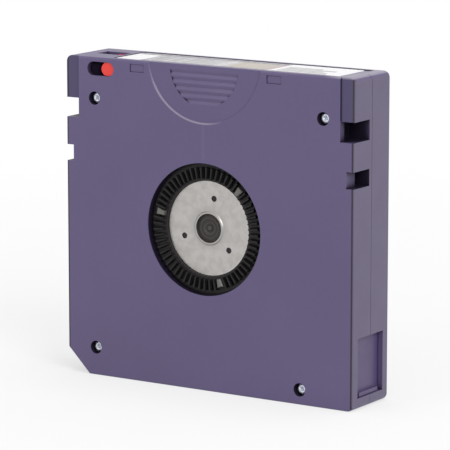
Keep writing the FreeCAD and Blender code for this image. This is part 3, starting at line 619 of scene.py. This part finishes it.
class Finish(SurfaceSet):
    """The finishes that the cartridge's pieces wear."""

    CASE = CaseMoulding("case_purple", (87, 76, 113))
    DOOR = MouldedPlastic("door_purple", (82, 70, 107))
    TAB = MouldedPlastic("tab_red", (226, 54, 46), roughness=0.38)
    HUB = HubMoulding("hub_black", (20, 18, 19), (70, 67, 63))
    FLANGE = MouldedPlastic("flange_black", (34, 32, 34), grain=0.3)
    SPIDER = MouldedPlastic("release_grey", (98, 96, 93))
    BRAKE = MouldedPlastic("brake_black", (38, 38, 42))
    CLIP = MouldedPlastic("clip_grey", (120, 120, 124))
    PLATE = TurnedSteel("plate_turned_steel", (187, 184, 181))
    SCREW = PlatedSteel("screw_plated_steel", (216, 220, 232), roughness=0.42)
    PIN = PlatedSteel("pin_plated_steel", (200, 201, 204), roughness=0.16, scuff=0.8)
    SPRING = PlatedSteel("spring_drawn_wire", (176, 176, 178), roughness=0.28)
    PAPER = PrintedPaper("label_coated_paper", (238, 237, 239))
    TAPE = WoundTape("tape_wound_film", (38, 30, 26))
    BOARD = CircuitBoard("chip_solder_mask", (24, 74, 46))


class Ink(SurfaceSet):
    """The plain inks of the label's fields."""

    CODE_BED = PrintedPaper("ink_code_bed", (202, 200, 202), streak=0.7)
    CODE_EDGE = PrintedPaper("ink_code_edge", (134, 130, 137), streak=0.25)
    CODE_BAR = PrintedPaper("ink_code_bar", (142, 140, 144))
    CREAM = PrintedPaper("ink_cream", (184, 176, 167))
    ROSE = PrintedPaper("ink_rose", (184, 170, 170))
    MIST = PrintedPaper("ink_mist", (178, 176, 178))


class PatternTree(NodeSheet):
    """A Geometry Nodes tree that is laid out, run once and baked into a plain mesh."""

    def __init__(self, name: str) -> None:
        """Start an empty tree of that name."""
        super().__init__(bpy.data.node_groups.new(name, "GeometryNodeTree"))
        self.name = name
        for way in ("INPUT", "OUTPUT"):
            self.net.interface.new_socket(name="Geometry", in_out=way, socket_type="NodeSocketGeometry")
        self.values: dict[str, object] = {}
        self.start = self.add("NodeGroupInput")
        self.end = self.add("NodeGroupOutput")

    def input(self, name: str, kind: str, value: object) -> Socket:
        """Add a named input to the tree.

        Args:
            name: The input's name.
            kind: Float, Int, Vector, Object or Material.
            value: What it is set to.

        Returns:
            The socket to use inside the tree.
        """
        item = self.net.interface.new_socket(name=name, in_out="INPUT", socket_type=f"NodeSocket{kind}")
        self.values[item.identifier] = value
        return self.start.outputs[name]

    def take(self, kind: str, **values: float) -> list[Socket]:
        """Add inputs of one kind, named as the arguments are, with spaces for underscores."""
        return [self.input(name.replace("_", " "), kind, value) for name, value in values.items()]

    def point(self, x: Value, y: Value, z: Value) -> Socket:
        """Return a vector made of three values, each a socket or a number."""
        return self.out("ShaderNodeCombineXYZ", {"X": x, "Y": y, "Z": z})

    def bake(self, geometry: Socket, finish: bpy.types.Material,
             points: Sequence[Vector] = ()) -> bpy.types.Object:
        """Close the tree, run it and return its result as a piece.

        Args:
            geometry: The geometry that the tree makes.
            finish: The material of all of it.
            points: The points that the tree starts from, if it needs any.

        Returns:
            The new object, at the origin, with a plain mesh and no modifier.
        """
        material = self.input("Finish", "Material", finish)
        real = self.out("GeometryNodeRealizeInstances", {0: geometry})
        dressed = self.out("GeometryNodeSetMaterial", {"Geometry": real, "Material": material})
        self.net.links.new(dressed, self.end.inputs[0])
        seed = bpy.data.meshes.new(self.name)
        seed.from_pydata([tuple(point) for point in points], [], [])
        piece = put(self.name, seed)
        modifier = piece.modifiers.new(self.name, "NODES")
        modifier.node_group = self.net
        for identifier, value in self.values.items():
            modifier[identifier] = value
        graph = bpy.context.evaluated_depsgraph_get()
        mesh = bpy.data.meshes.new_from_object(piece.evaluated_get(graph))
        piece.modifiers.clear()
        piece.data = mesh
        mesh.name = self.name
        return piece


def piece_from(name: str, form: bmesh.types.BMesh,
               materials: Sequence[bpy.types.Material]) -> bpy.types.Object:
    """Turn a bmesh into an object.

    Args:
        name: The piece's name.
        form: The mesh being edited, in metres, which is freed.
        materials: The materials that its faces' numbers mean.

    Returns:
        The new object, at the origin.
    """
    bmesh.ops.recalc_face_normals(form, faces=form.faces)
    mesh = bpy.data.meshes.new(name)
    form.to_mesh(mesh)
    form.free()
    for material in materials:
        mesh.materials.append(material)
    return put(name, mesh)


def dress(finish: Finish, *nodes: str) -> None:
    """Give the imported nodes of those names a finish."""
    for name in nodes:
        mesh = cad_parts[name].data
        mesh.materials.clear()
        mesh.materials.append(finish.material())
        LOG.info("%s wears %s", name, finish.value.name)


def fit(piece: bpy.types.Object, body: str, slot: str, *nodes: str) -> None:
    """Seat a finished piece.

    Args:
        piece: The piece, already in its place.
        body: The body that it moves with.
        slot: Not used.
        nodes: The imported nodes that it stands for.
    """
    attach(piece, body)
    if nodes:
        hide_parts(*nodes)
    LOG.info("%s rides on %s, %d faces", piece.name, body, len(piece.data.polygons))


@dataclass
class CaseShells:
    """The two moulded halves of the case and the write-protect tab in its corner."""

    halves: tuple[str, str] = ("lower_shell", "upper_shell")
    tab: str = "write_protect_tab"

    def build(self) -> None:
        """Dress the halves and the tab."""
        dress(Finish.CASE, *self.halves)
        dress(Finish.TAB, self.tab)


@dataclass
class CaseScrews:
    """The four cross-headed screws that hold the halves together."""

    places: tuple[tuple[float, float], ...] = ((-41.9, 89.0), (41.9, 89.0), (-41.9, 9.0), (34.0, 4.7))
    head_radius: float = 1.8
    head_top: float = 1.3
    seat: float = 3.0
    shank_radius: float = 1.0
    end: float = 16.0
    thread_pitch: float = 0.8
    recess_reach: float = 1.05
    recess_width: float = 0.52
    recess_depth: float = 0.9
    crown: tuple[tuple[float, float], ...] = ((0.6, 0.1), (0.3, 0.22), (0.12, 0.36), (0.0, 0.6))
    thread_root: tuple[float, float] = (0.8, 0.35)
    thread_crest: float = 0.8
    tip_radius: float = 0.1
    mouth_depth: float = 0.03
    floor_share: float = 0.55
    floor_depth_share: float = 0.75
    sides: int = 48
    seed: int = 4

    def outline(self) -> list[tuple[float, float]]:
        """Return the screw's section from its crown to its tip, as radius and depth."""
        head = [(self.head_radius - inset, depth) for inset, depth in self.crown]
        depth, end = self.seat - self.head_top, self.end - self.head_top
        section = head + [(self.head_radius, depth), (self.shank_radius, depth)]
        root, groove = self.thread_root
        while depth < end - 2 * self.thread_pitch:
            section += [(self.shank_radius * root, depth + self.thread_pitch * groove),
                        (self.shank_radius, depth + self.thread_pitch * self.thread_crest)]
            depth += self.thread_pitch
        return section + [(self.tip_radius, end)]

    def template(self) -> bpy.types.Object:
        """Return one screw, with its head's highest point at the origin and its shank along +Y."""
        form = bmesh.new()
        turn = [2 * math.pi * i / self.sides for i in range(self.sides)]
        loops = [[form.verts.new(Vector((reach * math.cos(a), down, reach * math.sin(a))) * MM)
                  for a in turn] for reach, down in self.outline()]
        for upper, lower in zip(loops, loops[1:]):
            for i in range(self.sides):
                after = (i + 1) % self.sides
                form.faces.new((upper[i], upper[after], lower[after], lower[i]))
        form.faces.new(loops[-1])
        self.cut_recess(form, loops[0])
        for face in form.faces:
            face.smooth = True
        return piece_from("screw_template", form, [])

    def cut_recess(self, form: bmesh.types.BMesh, rim: list[bmesh.types.BMVert]) -> None:
        """Close the top of the head with a face that has a cross sunk in it.

        Args:
            form: The screw being made.
            rim: The ring of points round the top of the head.
        """
        reach, half = self.recess_reach, self.recess_width / 2
        cross = [(reach, half), (half, half), (half, reach), (-half, reach), (-half, half),
                 (-reach, half), (-reach, -half), (-half, -half), (-half, -reach), (half, -reach),
                 (half, -half), (reach, -half)]
        share, bed = self.floor_share, self.recess_depth * self.floor_depth_share
        mouth = [form.verts.new(Vector((x, self.mouth_depth, z)) * MM) for x, z in cross]
        floor = [form.verts.new(Vector((x * share, bed, z * share)) * MM) for x, z in cross]
        edges = []
        for loop in (rim, mouth):
            for i, vert in enumerate(loop):
                after = loop[(i + 1) % len(loop)]
                edges.append(form.edges.get((vert, after)) or form.edges.new((vert, after)))
        bmesh.ops.triangle_fill(form, edges=edges, use_beauty=True)
        tip = form.verts.new(Vector((0, self.recess_depth, 0)) * MM)
        for i in range(len(cross)):
            after = (i + 1) % len(cross)
            form.faces.new((mouth[i], mouth[after], floor[after], floor[i]))
            form.faces.new((floor[i], floor[after], tip))

    def build(self) -> None:
        """Set a screw in each hole, each turned its own way."""
        template = self.template()
        tree = PatternTree("case_screws_cross_head")
        screw = tree.add("GeometryNodeObjectInfo", {"Object": tree.input("Screw", "Object", template)})
        seed = tree.input("Seed", "Int", self.seed)
        turn = tree.add("FunctionNodeRandomValue", {2: 0.0, 3: math.pi, "Seed": seed})
        facing = tree.point(0.0, turn.outputs[1], 0.0)
        rotation = tree.out("FunctionNodeEulerToRotation", {0: facing})
        screws = tree.out("GeometryNodeInstanceOnPoints", {
            "Points": tree.start.outputs[0], "Instance": screw.outputs["Geometry"],
            "Rotation": rotation})
        points = [place(x, self.head_top, z) for x, z in self.places]
        piece = tree.bake(screws, Finish.SCREW.material(), points)
        bpy.data.objects.remove(template)
        fit(piece, "case", "screw_steel", "case_screws")


@dataclass(frozen=True)
class LabelField:
    """A plain printed field of the label: its ends across and its near and far edge, in millimetres."""

    left: float
    right: float
    near: float
    far: float
    ink: Ink


@dataclass
class RearLabel:
    """The label on the rear edge, with plain fields and bars in place of print."""

    fields: tuple[LabelField, ...] = (
        LabelField(-27.0, 20.0, 2.6, 4.6, Ink.CODE_EDGE), LabelField(-35.0, 20.0, 15.6, 18.8, Ink.CODE_EDGE),
        LabelField(-27.0, 3.9, 4.6, 15.6, Ink.CODE_BED), LabelField(3.9, 17.0, 4.6, 15.6, Ink.CREAM),
        LabelField(17.0, 20.0, 4.6, 15.6, Ink.ROSE), LabelField(20.8, 40.4, 2.6, 4.4, Ink.MIST),
        LabelField(22.0, 39.5, 5.2, 6.9, Ink.MIST), LabelField(22.0, 37.0, 7.6, 9.3, Ink.MIST),
        LabelField(22.0, 40.0, 10.0, 11.7, Ink.MIST), LabelField(22.0, 34.0, 12.4, 13.8, Ink.MIST))
    bar_start: float = -26.2
    bar_pitch: float = 1.04
    bar_count: int = 29
    bar_widths: tuple[float, float] = (0.15, 0.8)
    bar_depths: tuple[float, float] = (4.8, 15.4)
    right_gap: float = 2.5
    corner: float = 1.2
    corner_steps: int = 6
    film: float = 0.02
    tile_height: float = 0.75
    tile_drop: float = 0.625
    seed: int = 11

    def build(self) -> None:
        """Lay the paper, its fields and its bars."""
        low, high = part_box("rear_label")
        fit(self.paper(low, high), "case", "label_paper", "rear_label")
        form = bmesh.new()
        inks = list(Ink)
        for field in self.fields:
            self.tile(form, field, high.z, inks.index(field.ink))
        printed = piece_from("rear_label_print", form, [ink.material() for ink in inks])
        fit(printed, "case", "label_paper")
        self.bars(high.z)

    def paper(self, low: Vector, high: Vector) -> bpy.types.Object:
        """Return the paper, with round corners, short of its recess on the right, its top a hair lower.

        Args:
            low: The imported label's lowest corner.
            high: Its highest corner.

        Returns:
            The paper.
        """
        radius = self.corner * MM
        form = bmesh.new()
        outline = []
        right = high.x - self.right_gap * MM
        corners = ((right, high.y, -1, -1), (low.x, high.y, 1, -1), (low.x, low.y, 1, 1),
                   (right, low.y, -1, 1))
        for quarter, (x, y, inwards, up) in enumerate(corners):
            centre = Vector((x + inwards * radius, y + up * radius))
            for i in range(self.corner_steps + 1):
                angle = (quarter + i / self.corner_steps) * math.pi / 2
                outline.append(centre + Vector((math.cos(angle), math.sin(angle))) * radius)
        top = [form.verts.new((point.x, point.y, high.z - self.film * MM)) for point in outline]
        bottom = [form.verts.new((point.x, point.y, low.z)) for point in outline]
        form.faces.new(top)
        form.faces.new(list(reversed(bottom)))
        for i in range(len(outline)):
            after = (i + 1) % len(outline)
            form.faces.new((top[after], top[i], bottom[i], bottom[after]))
        return piece_from("rear_label_paper", form, [Finish.PAPER.material()])

    def tile(self, form: bmesh.types.BMesh, field: LabelField, top: float, number: int) -> None:
        """Add a thin printed tile.

        Args:
            form: The mesh to add it to.
            field: The field that it prints.
            top: The height of its upper face, in metres.
            number: The number of its ink among the mesh's materials.
        """
        low, high = place(field.left, field.near, 0), place(field.right, field.far, 0)
        size = Vector((high.x - low.x, high.y - low.y, self.film * MM * self.tile_height))
        drop = self.film * MM * self.tile_drop
        middle = Vector(((high.x + low.x) / 2, (high.y + low.y) / 2, top - drop))
        matrix = Matrix.Translation(middle) @ Matrix.Diagonal((*size, 1.0))
        for vert in bmesh.ops.create_cube(form, size=1.0, matrix=matrix)["verts"]:
            for face in vert.link_faces:
                face.material_index = number

    def bars(self, top: float) -> None:
        """Print the row of bars, each as wide as chance gives it.

        Args:
            top: The height of the label's upper face, in metres.
        """
        tree = PatternTree("rear_label_bars")
        least, most = self.bar_widths
        count, seed = tree.take("Int", Count=self.bar_count, Seed=self.seed)
        pitch, narrow, wide = tree.take("Float", Pitch=self.bar_pitch * MM, Narrowest=least * MM,
                                        Widest=most * MM)
        near, far = (place(self.bar_start, depth, 0) for depth in self.bar_depths)
        start = Vector((near.x, (near.y + far.y) / 2, top - self.film * MM / 2))
        row = tree.out("GeometryNodeMeshLine", {
            "Count": count, "Start Location": start, "Offset": tree.point(pitch, 0.0, 0.0)})
        bar = tree.out("GeometryNodeMeshCube", {"Size": (1.0, far.y - near.y, self.film * MM)})
        width = tree.add("FunctionNodeRandomValue", {2: narrow, 3: wide, "Seed": seed}).outputs[1]
        bars = tree.out("GeometryNodeInstanceOnPoints", {
            "Points": row, "Instance": bar, "Scale": tree.point(width, 1.0, 1.0)})
        fit(tree.bake(bars, Ink.CODE_BAR.material()), "case", "label_paper")


@dataclass
class CoilSpring:
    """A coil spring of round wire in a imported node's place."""

    name: str
    node: str
    joint: str
    travel: float
    direction: Vector
    wire: float
    turns: float
    steps: int = 24
    wire_sides: int = 10

    def build(self) -> None:
        """Wind the spring along its direction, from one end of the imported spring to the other."""
        low, high = (Vector(corner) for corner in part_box(self.node))
        size, wire = high - low, self.wire * MM
        length = size.dot(self.direction)
        radius = (size - self.direction * length).length / math.sqrt(2) / 2 - wire
        tree = PatternTree(self.name)
        reach, height, turns, thickness = tree.take(
            "Float", Radius=radius, Length=length - 2 * wire, Turns=self.turns, Wire=wire)
        spiral = tree.out("GeometryNodeCurveSpiral", {
            "Resolution": self.steps, "Rotations": turns, "Start Radius": reach, "End Radius": reach,
            "Height": height})
        section = tree.out("GeometryNodeCurvePrimitiveCircle", {
            "Resolution": self.wire_sides, "Radius": thickness})
        coil = tree.out("GeometryNodeCurveToMesh", {
            "Curve": spiral, "Profile Curve": section, "Fill Caps": True})
        foot = (low + high) / 2 - self.direction * (length / 2 - wire)
        seated = tree.out("GeometryNodeTransform", {
            "Geometry": coil, "Translation": foot,
            "Rotation": self.direction.to_track_quat("Z", "Y").to_euler()})
        smooth = tree.out("GeometryNodeSetShadeSmooth", {"Geometry": seated})
        spring = tree.bake(smooth, Finish.SPRING.material())
        fit(spring, "case", "spring_steel", self.node)
        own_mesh(spring)


@dataclass
class TapeRoll:
    """The wound tape, with some turns standing a little proud of the rest."""

    inner: float = 22.0
    step: float = 0.42
    turns: int = 56
    sides: int = 120
    uneven: float = 0.09
    weld: float = 0.002
    far_shift: float = 1000.0
    level_share: float = 0.999
    seed: int = 7

    def build(self) -> None:
        """Turn the roll's uneven section about the reel's axis."""
        low, high = (Vector(corner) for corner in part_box("tape_pack"))
        tree = PatternTree("wound_tape")
        tree.take("Float", Inner_Radius=self.inner * MM, Outer_Radius=(high.x - low.x) / 2, Low=low.y,
                  High=high.y, Step=self.step * MM, Uneven=self.uneven * MM)
        tree.take("Int", Turns=self.turns, Sides=self.sides, Seed=self.seed)
        parts = [self.side(tree, "Low", 1.0, 0.0), self.side(tree, "High", -1.0, self.far_shift),
                 self.wall(tree, "Inner Radius"), self.wall(tree, "Outer Radius")]
        whole = tree.add("GeometryNodeJoinGeometry")
        for part in parts:
            tree.net.links.new(part, whole.inputs[0])
        inputs = {"Geometry": whole.outputs[0], "Distance": self.weld * MM}
        closed = tree.add("GeometryNodeMergeByDistance", inputs)
        piece = tree.bake(closed.outputs[0], Finish.TAPE.material())
        form = bmesh.new()
        form.from_mesh(piece.data)
        bmesh.ops.recalc_face_normals(form, faces=form.faces)
        form.to_mesh(piece.data)
        form.free()
        fit(piece, "reel", "tape_film", "tape_pack")

    def side(self, tree: PatternTree, place_name: str, inwards: float, shift: float) -> Socket:
        """Return one flat side of the roll, whose turns are sunk by chance.

        Args:
            tree: The tree being laid.
            place_name: The input that says where the side lies.
            inwards: The way into the roll along Y, 1 or -1.
            shift: What sets this side's chances apart from the other's.

        Returns:
            The side's geometry.
        """
        sizes = tree.start.outputs
        width = tree.math("SUBTRACT", sizes["Outer Radius"], sizes["Inner Radius"])
        half = tree.times(width, 0.5)
        grid = tree.add("GeometryNodeMeshGrid", {
            "Size X": width, "Size Y": 2 * math.pi, "Vertices X": sizes["Turns"],
            "Vertices Y": sizes["Sides"]})
        spot = tree.add("ShaderNodeSeparateXYZ", {0: tree.out("GeometryNodeInputPosition")})
        reach = tree.math("ADD", spot.outputs[0], tree.math("ADD", sizes["Inner Radius"], half))
        turn = tree.math("ADD", tree.math("FLOOR", tree.math("DIVIDE", reach, sizes["Step"])), shift)
        sunk = tree.add("FunctionNodeRandomValue", {
            2: 0.0, 3: sizes["Uneven"], "ID": tree.out("FunctionNodeFloatToInt", {0: turn}),
            "Seed": sizes["Seed"]}).outputs[1]
        edge = tree.times(half, self.level_share)
        inside = tree.math("LESS_THAN", tree.math("ABSOLUTE", spot.outputs[0]), edge)
        sunk = tree.times(tree.times(sunk, inside), inwards)
        y = tree.math("ADD", sunk, sizes[place_name])
        return self.rolled(tree, grid.outputs[0], reach, spot.outputs[1], y)

    def wall(self, tree: PatternTree, radius_name: str) -> Socket:
        """Return the roll's inner or outer wall.

        Args:
            tree: The tree being laid.
            radius_name: The input that gives the wall's radius.

        Returns:
            The wall's geometry.
        """
        sizes = tree.start.outputs
        grid = tree.add("GeometryNodeMeshGrid", {
            "Size X": tree.math("SUBTRACT", sizes["High"], sizes["Low"]), "Size Y": 2 * math.pi,
            "Vertices X": 2, "Vertices Y": sizes["Sides"]})
        spot = tree.add("ShaderNodeSeparateXYZ", {0: tree.out("GeometryNodeInputPosition")})
        middle = tree.times(tree.math("ADD", sizes["Low"], sizes["High"]), 0.5)
        depth = tree.math("ADD", spot.outputs[0], middle)
        return self.rolled(tree, grid.outputs[0], sizes[radius_name], spot.outputs[1], depth)

    def rolled(self, tree: PatternTree, grid: Socket, reach: Value, angle: Socket, y: Socket) -> Socket:
        """Return a flat grid bent round the reel's axis.

        Args:
            tree: The tree being laid.
            grid: The flat grid.
            reach: The distance of its points from the axis, in metres.
            angle: Their angle about it.
            y: Their place along it.

        Returns:
            The bent grid.
        """
        across = tree.times(tree.math("COSINE", angle), reach)
        up = tree.times(tree.math("SINE", angle), reach)
        spot = tree.point(tree.math("ADD", across, REEL_MIDDLE.x), y, tree.math("ADD", up, REEL_MIDDLE.z))
        return tree.out("GeometryNodeSetPosition", {"Geometry": grid, "Position": spot})


@dataclass
class Reel:
    """The reel: its hub with the drive teeth, the loose flange, the clutch plate and the tape."""

    roll: TapeRoll

    def build(self) -> None:
        """Dress the reel and wind its tape."""
        dress(Finish.HUB, "reel_hub")
        dress(Finish.FLANGE, "upper_flange")
        dress(Finish.PLATE, "clutch_plate")
        self.roll.build()


@dataclass
class BrakeTrain:
    """The brake inside the reel, its spring and the spider that lifts it."""

    spring: CoilSpring

    def build(self) -> None:
        """Dress the brake and its spider, and wind its spring."""
        dress(Finish.SPIDER, "release_member")
        dress(Finish.BRAKE, "brake")
        self.spring.build()


@dataclass
class TapeGate:
    """The sliding door, its spring, and the leader pin that waits behind it."""

    spring: CoilSpring

    def build(self) -> None:
        """Dress the door and the pin, and wind the door's spring."""
        dress(Finish.DOOR, "access_door")
        dress(Finish.PIN, "leader_pin")
        dress(Finish.CLIP, "tape_clip")
        dress(Finish.SPRING, "lower_pin_clip", "upper_pin_clip")
        dress(Finish.TAPE, "leader_tape")
        self.spring.build()


@dataclass
class MemoryChip:
    """The small board in the rear corner that is read without contact."""

    node: str = "memory_chip"

    def build(self) -> None:
        """Dress the board."""
        dress(Finish.BOARD, self.node)


@dataclass(frozen=True)
class SoftLamp:
    """A round lamp aimed at the cartridge: its place and size in metres, and its power in watts."""

    name: str
    spot: tuple[float, float, float]
    size: float
    power: float


@dataclass
class Studio:
    """The pale floor, the soft lamps and the camera."""

    half_floor: float = 4.0
    floor_colour: Colour = (236, 236, 236)
    floor_roughness: float = 0.9
    shade_reach: tuple[float, float] = (0.05, 0.45)
    shade_share: float = 0.6
    lamps: tuple[SoftLamp, ...] = (
        SoftLamp("key", (1.5, -1.0, 1.2), 1.2, 24.0), SoftLamp("fill", (-1.0, -1.6, 0.9), 1.4, 6.0),
        SoftLamp("top", (0.2, 0.1, 1.8), 1.0, 9.0))
    world_light: float = 0.55
    aim: tuple[float, float, float] = (0.0, 0.0, 0.051)
    azimuth: float = 32.84
    elevation: float = 10.22
    distance: float = 0.9745
    lens: float = 250.0

    def build(self) -> None:
        """Make the floor, the lamps, the world and the camera."""
        self.lay_floor()
        for lamp in self.lamps:
            self.hang(lamp)
        self.light_world()
        self.aim_camera()

    def seen(self, sheet: NodeSheet) -> Socket:
        """Return 1 for what the camera, a reflection or glass sees, and 0 for what lights the object."""
        path = sheet.add("ShaderNodeLightPath").outputs
        plain = sheet.math("MAXIMUM", path["Is Camera Ray"], path["Is Glossy Ray"])
        return sheet.math("MAXIMUM", plain, path["Is Transmission Ray"])

    def lay_floor(self) -> None:
        """Make a floor that looks white from afar and keeps the object's shadow near it."""
        mesh = bpy.data.meshes.new("floor")
        half = self.half_floor
        corners = [(-half, -half, 0), (half, -half, 0), (half, half, 0), (-half, half, 0)]
        mesh.from_pydata(corners, [], [(0, 1, 2, 3)])
        floor = put("floor", mesh)
        sheet = SurfaceSheet("pale_floor")
        lit = sheet.finish(Base_Color=linear(self.floor_colour), Roughness=self.floor_roughness,
                           Specular_IOR_Level=0.0)
        away = sheet.add("ShaderNodeVectorMath", {0: sheet.coordinates}, operation="LENGTH").outputs["Value"]
        share = sheet.spread(away, self.shade_share, 1.0, *self.shade_reach)
        share = sheet.times(share, self.seen(sheet))
        glow = sheet.out("ShaderNodeEmission", {"Color": (1, 1, 1, 1), "Strength": 1.0})
        mixed = sheet.out("ShaderNodeMixShader", {0: share, 1: sheet.shader.outputs[0], 2: glow})
        sheet.net.links.new(mixed, sheet.net.nodes["Material Output"].inputs["Surface"])
        mesh.materials.append(lit)

    def hang(self, lamp: SoftLamp) -> None:
        """Hang a lamp and turn it to the cartridge."""
        light = bpy.data.lights.new(lamp.name, "AREA")
        light.shape = "DISK"
        light.size = lamp.size
        light.energy = lamp.power
        holder = put(lamp.name, light)
        holder.location = lamp.spot
        holder.rotation_euler = (Vector(self.aim) - Vector(lamp.spot)).to_track_quat("-Z", "Y").to_euler()

    def light_world(self) -> None:
        """Fill the surroundings with soft light that looks white."""
        world = bpy.data.worlds.new("surroundings")
        world.use_nodes = True
        bpy.context.scene.world = world
        sheet = NodeSheet(world.node_tree)
        inputs = {"To Min": self.world_light, "Value": self.seen(sheet)}
        strength = sheet.out("ShaderNodeMapRange", inputs)
        background = sheet.net.nodes["Background"]
        background.inputs["Color"].default_value = (1, 1, 1, 1)
        sheet.net.links.new(strength, background.inputs["Strength"])

    def aim_camera(self) -> None:
        """Aim the camera at the cartridge's middle."""
        azimuth, elevation = math.radians(self.azimuth), math.radians(self.elevation)
        back = Vector((math.sin(azimuth) * math.cos(elevation), -math.cos(azimuth) * math.cos(elevation),
                       math.sin(elevation)))
        camera = put("camera", bpy.data.cameras.new("camera"))
        camera.location = Vector(self.aim) + back * self.distance
        camera.rotation_euler = (-back).to_track_quat("-Z", "Y").to_euler()
        camera.data.lens = self.lens
        bpy.context.scene.camera = camera


def main() -> None:
    """Dress the cartridge and set the studio."""
    logging.basicConfig(level=logging.INFO)
    bpy.context.scene.view_settings.view_transform = "Standard"
    brake_spring = CoilSpring("brake_spring_coil", "brake_spring", "brake_lift", travel=1.5,
                              direction=Vector((0, 1, 0)), wire=0.35, turns=4.5)
    door_spring = CoilSpring("door_spring_coil", "door_spring", "door_slide", travel=16.5,
                             direction=Vector((0, 0, 1)), wire=0.12, turns=11.0)
    for assembly in (CaseShells(), CaseScrews(), RearLabel(), Reel(TapeRoll()), BrakeTrain(brake_spring),
                     TapeGate(door_spring), MemoryChip()):
        LOG.info("building %s", type(assembly).__name__)
        assembly.build()
    Studio().build()


if __name__ == "__main__":
    main()
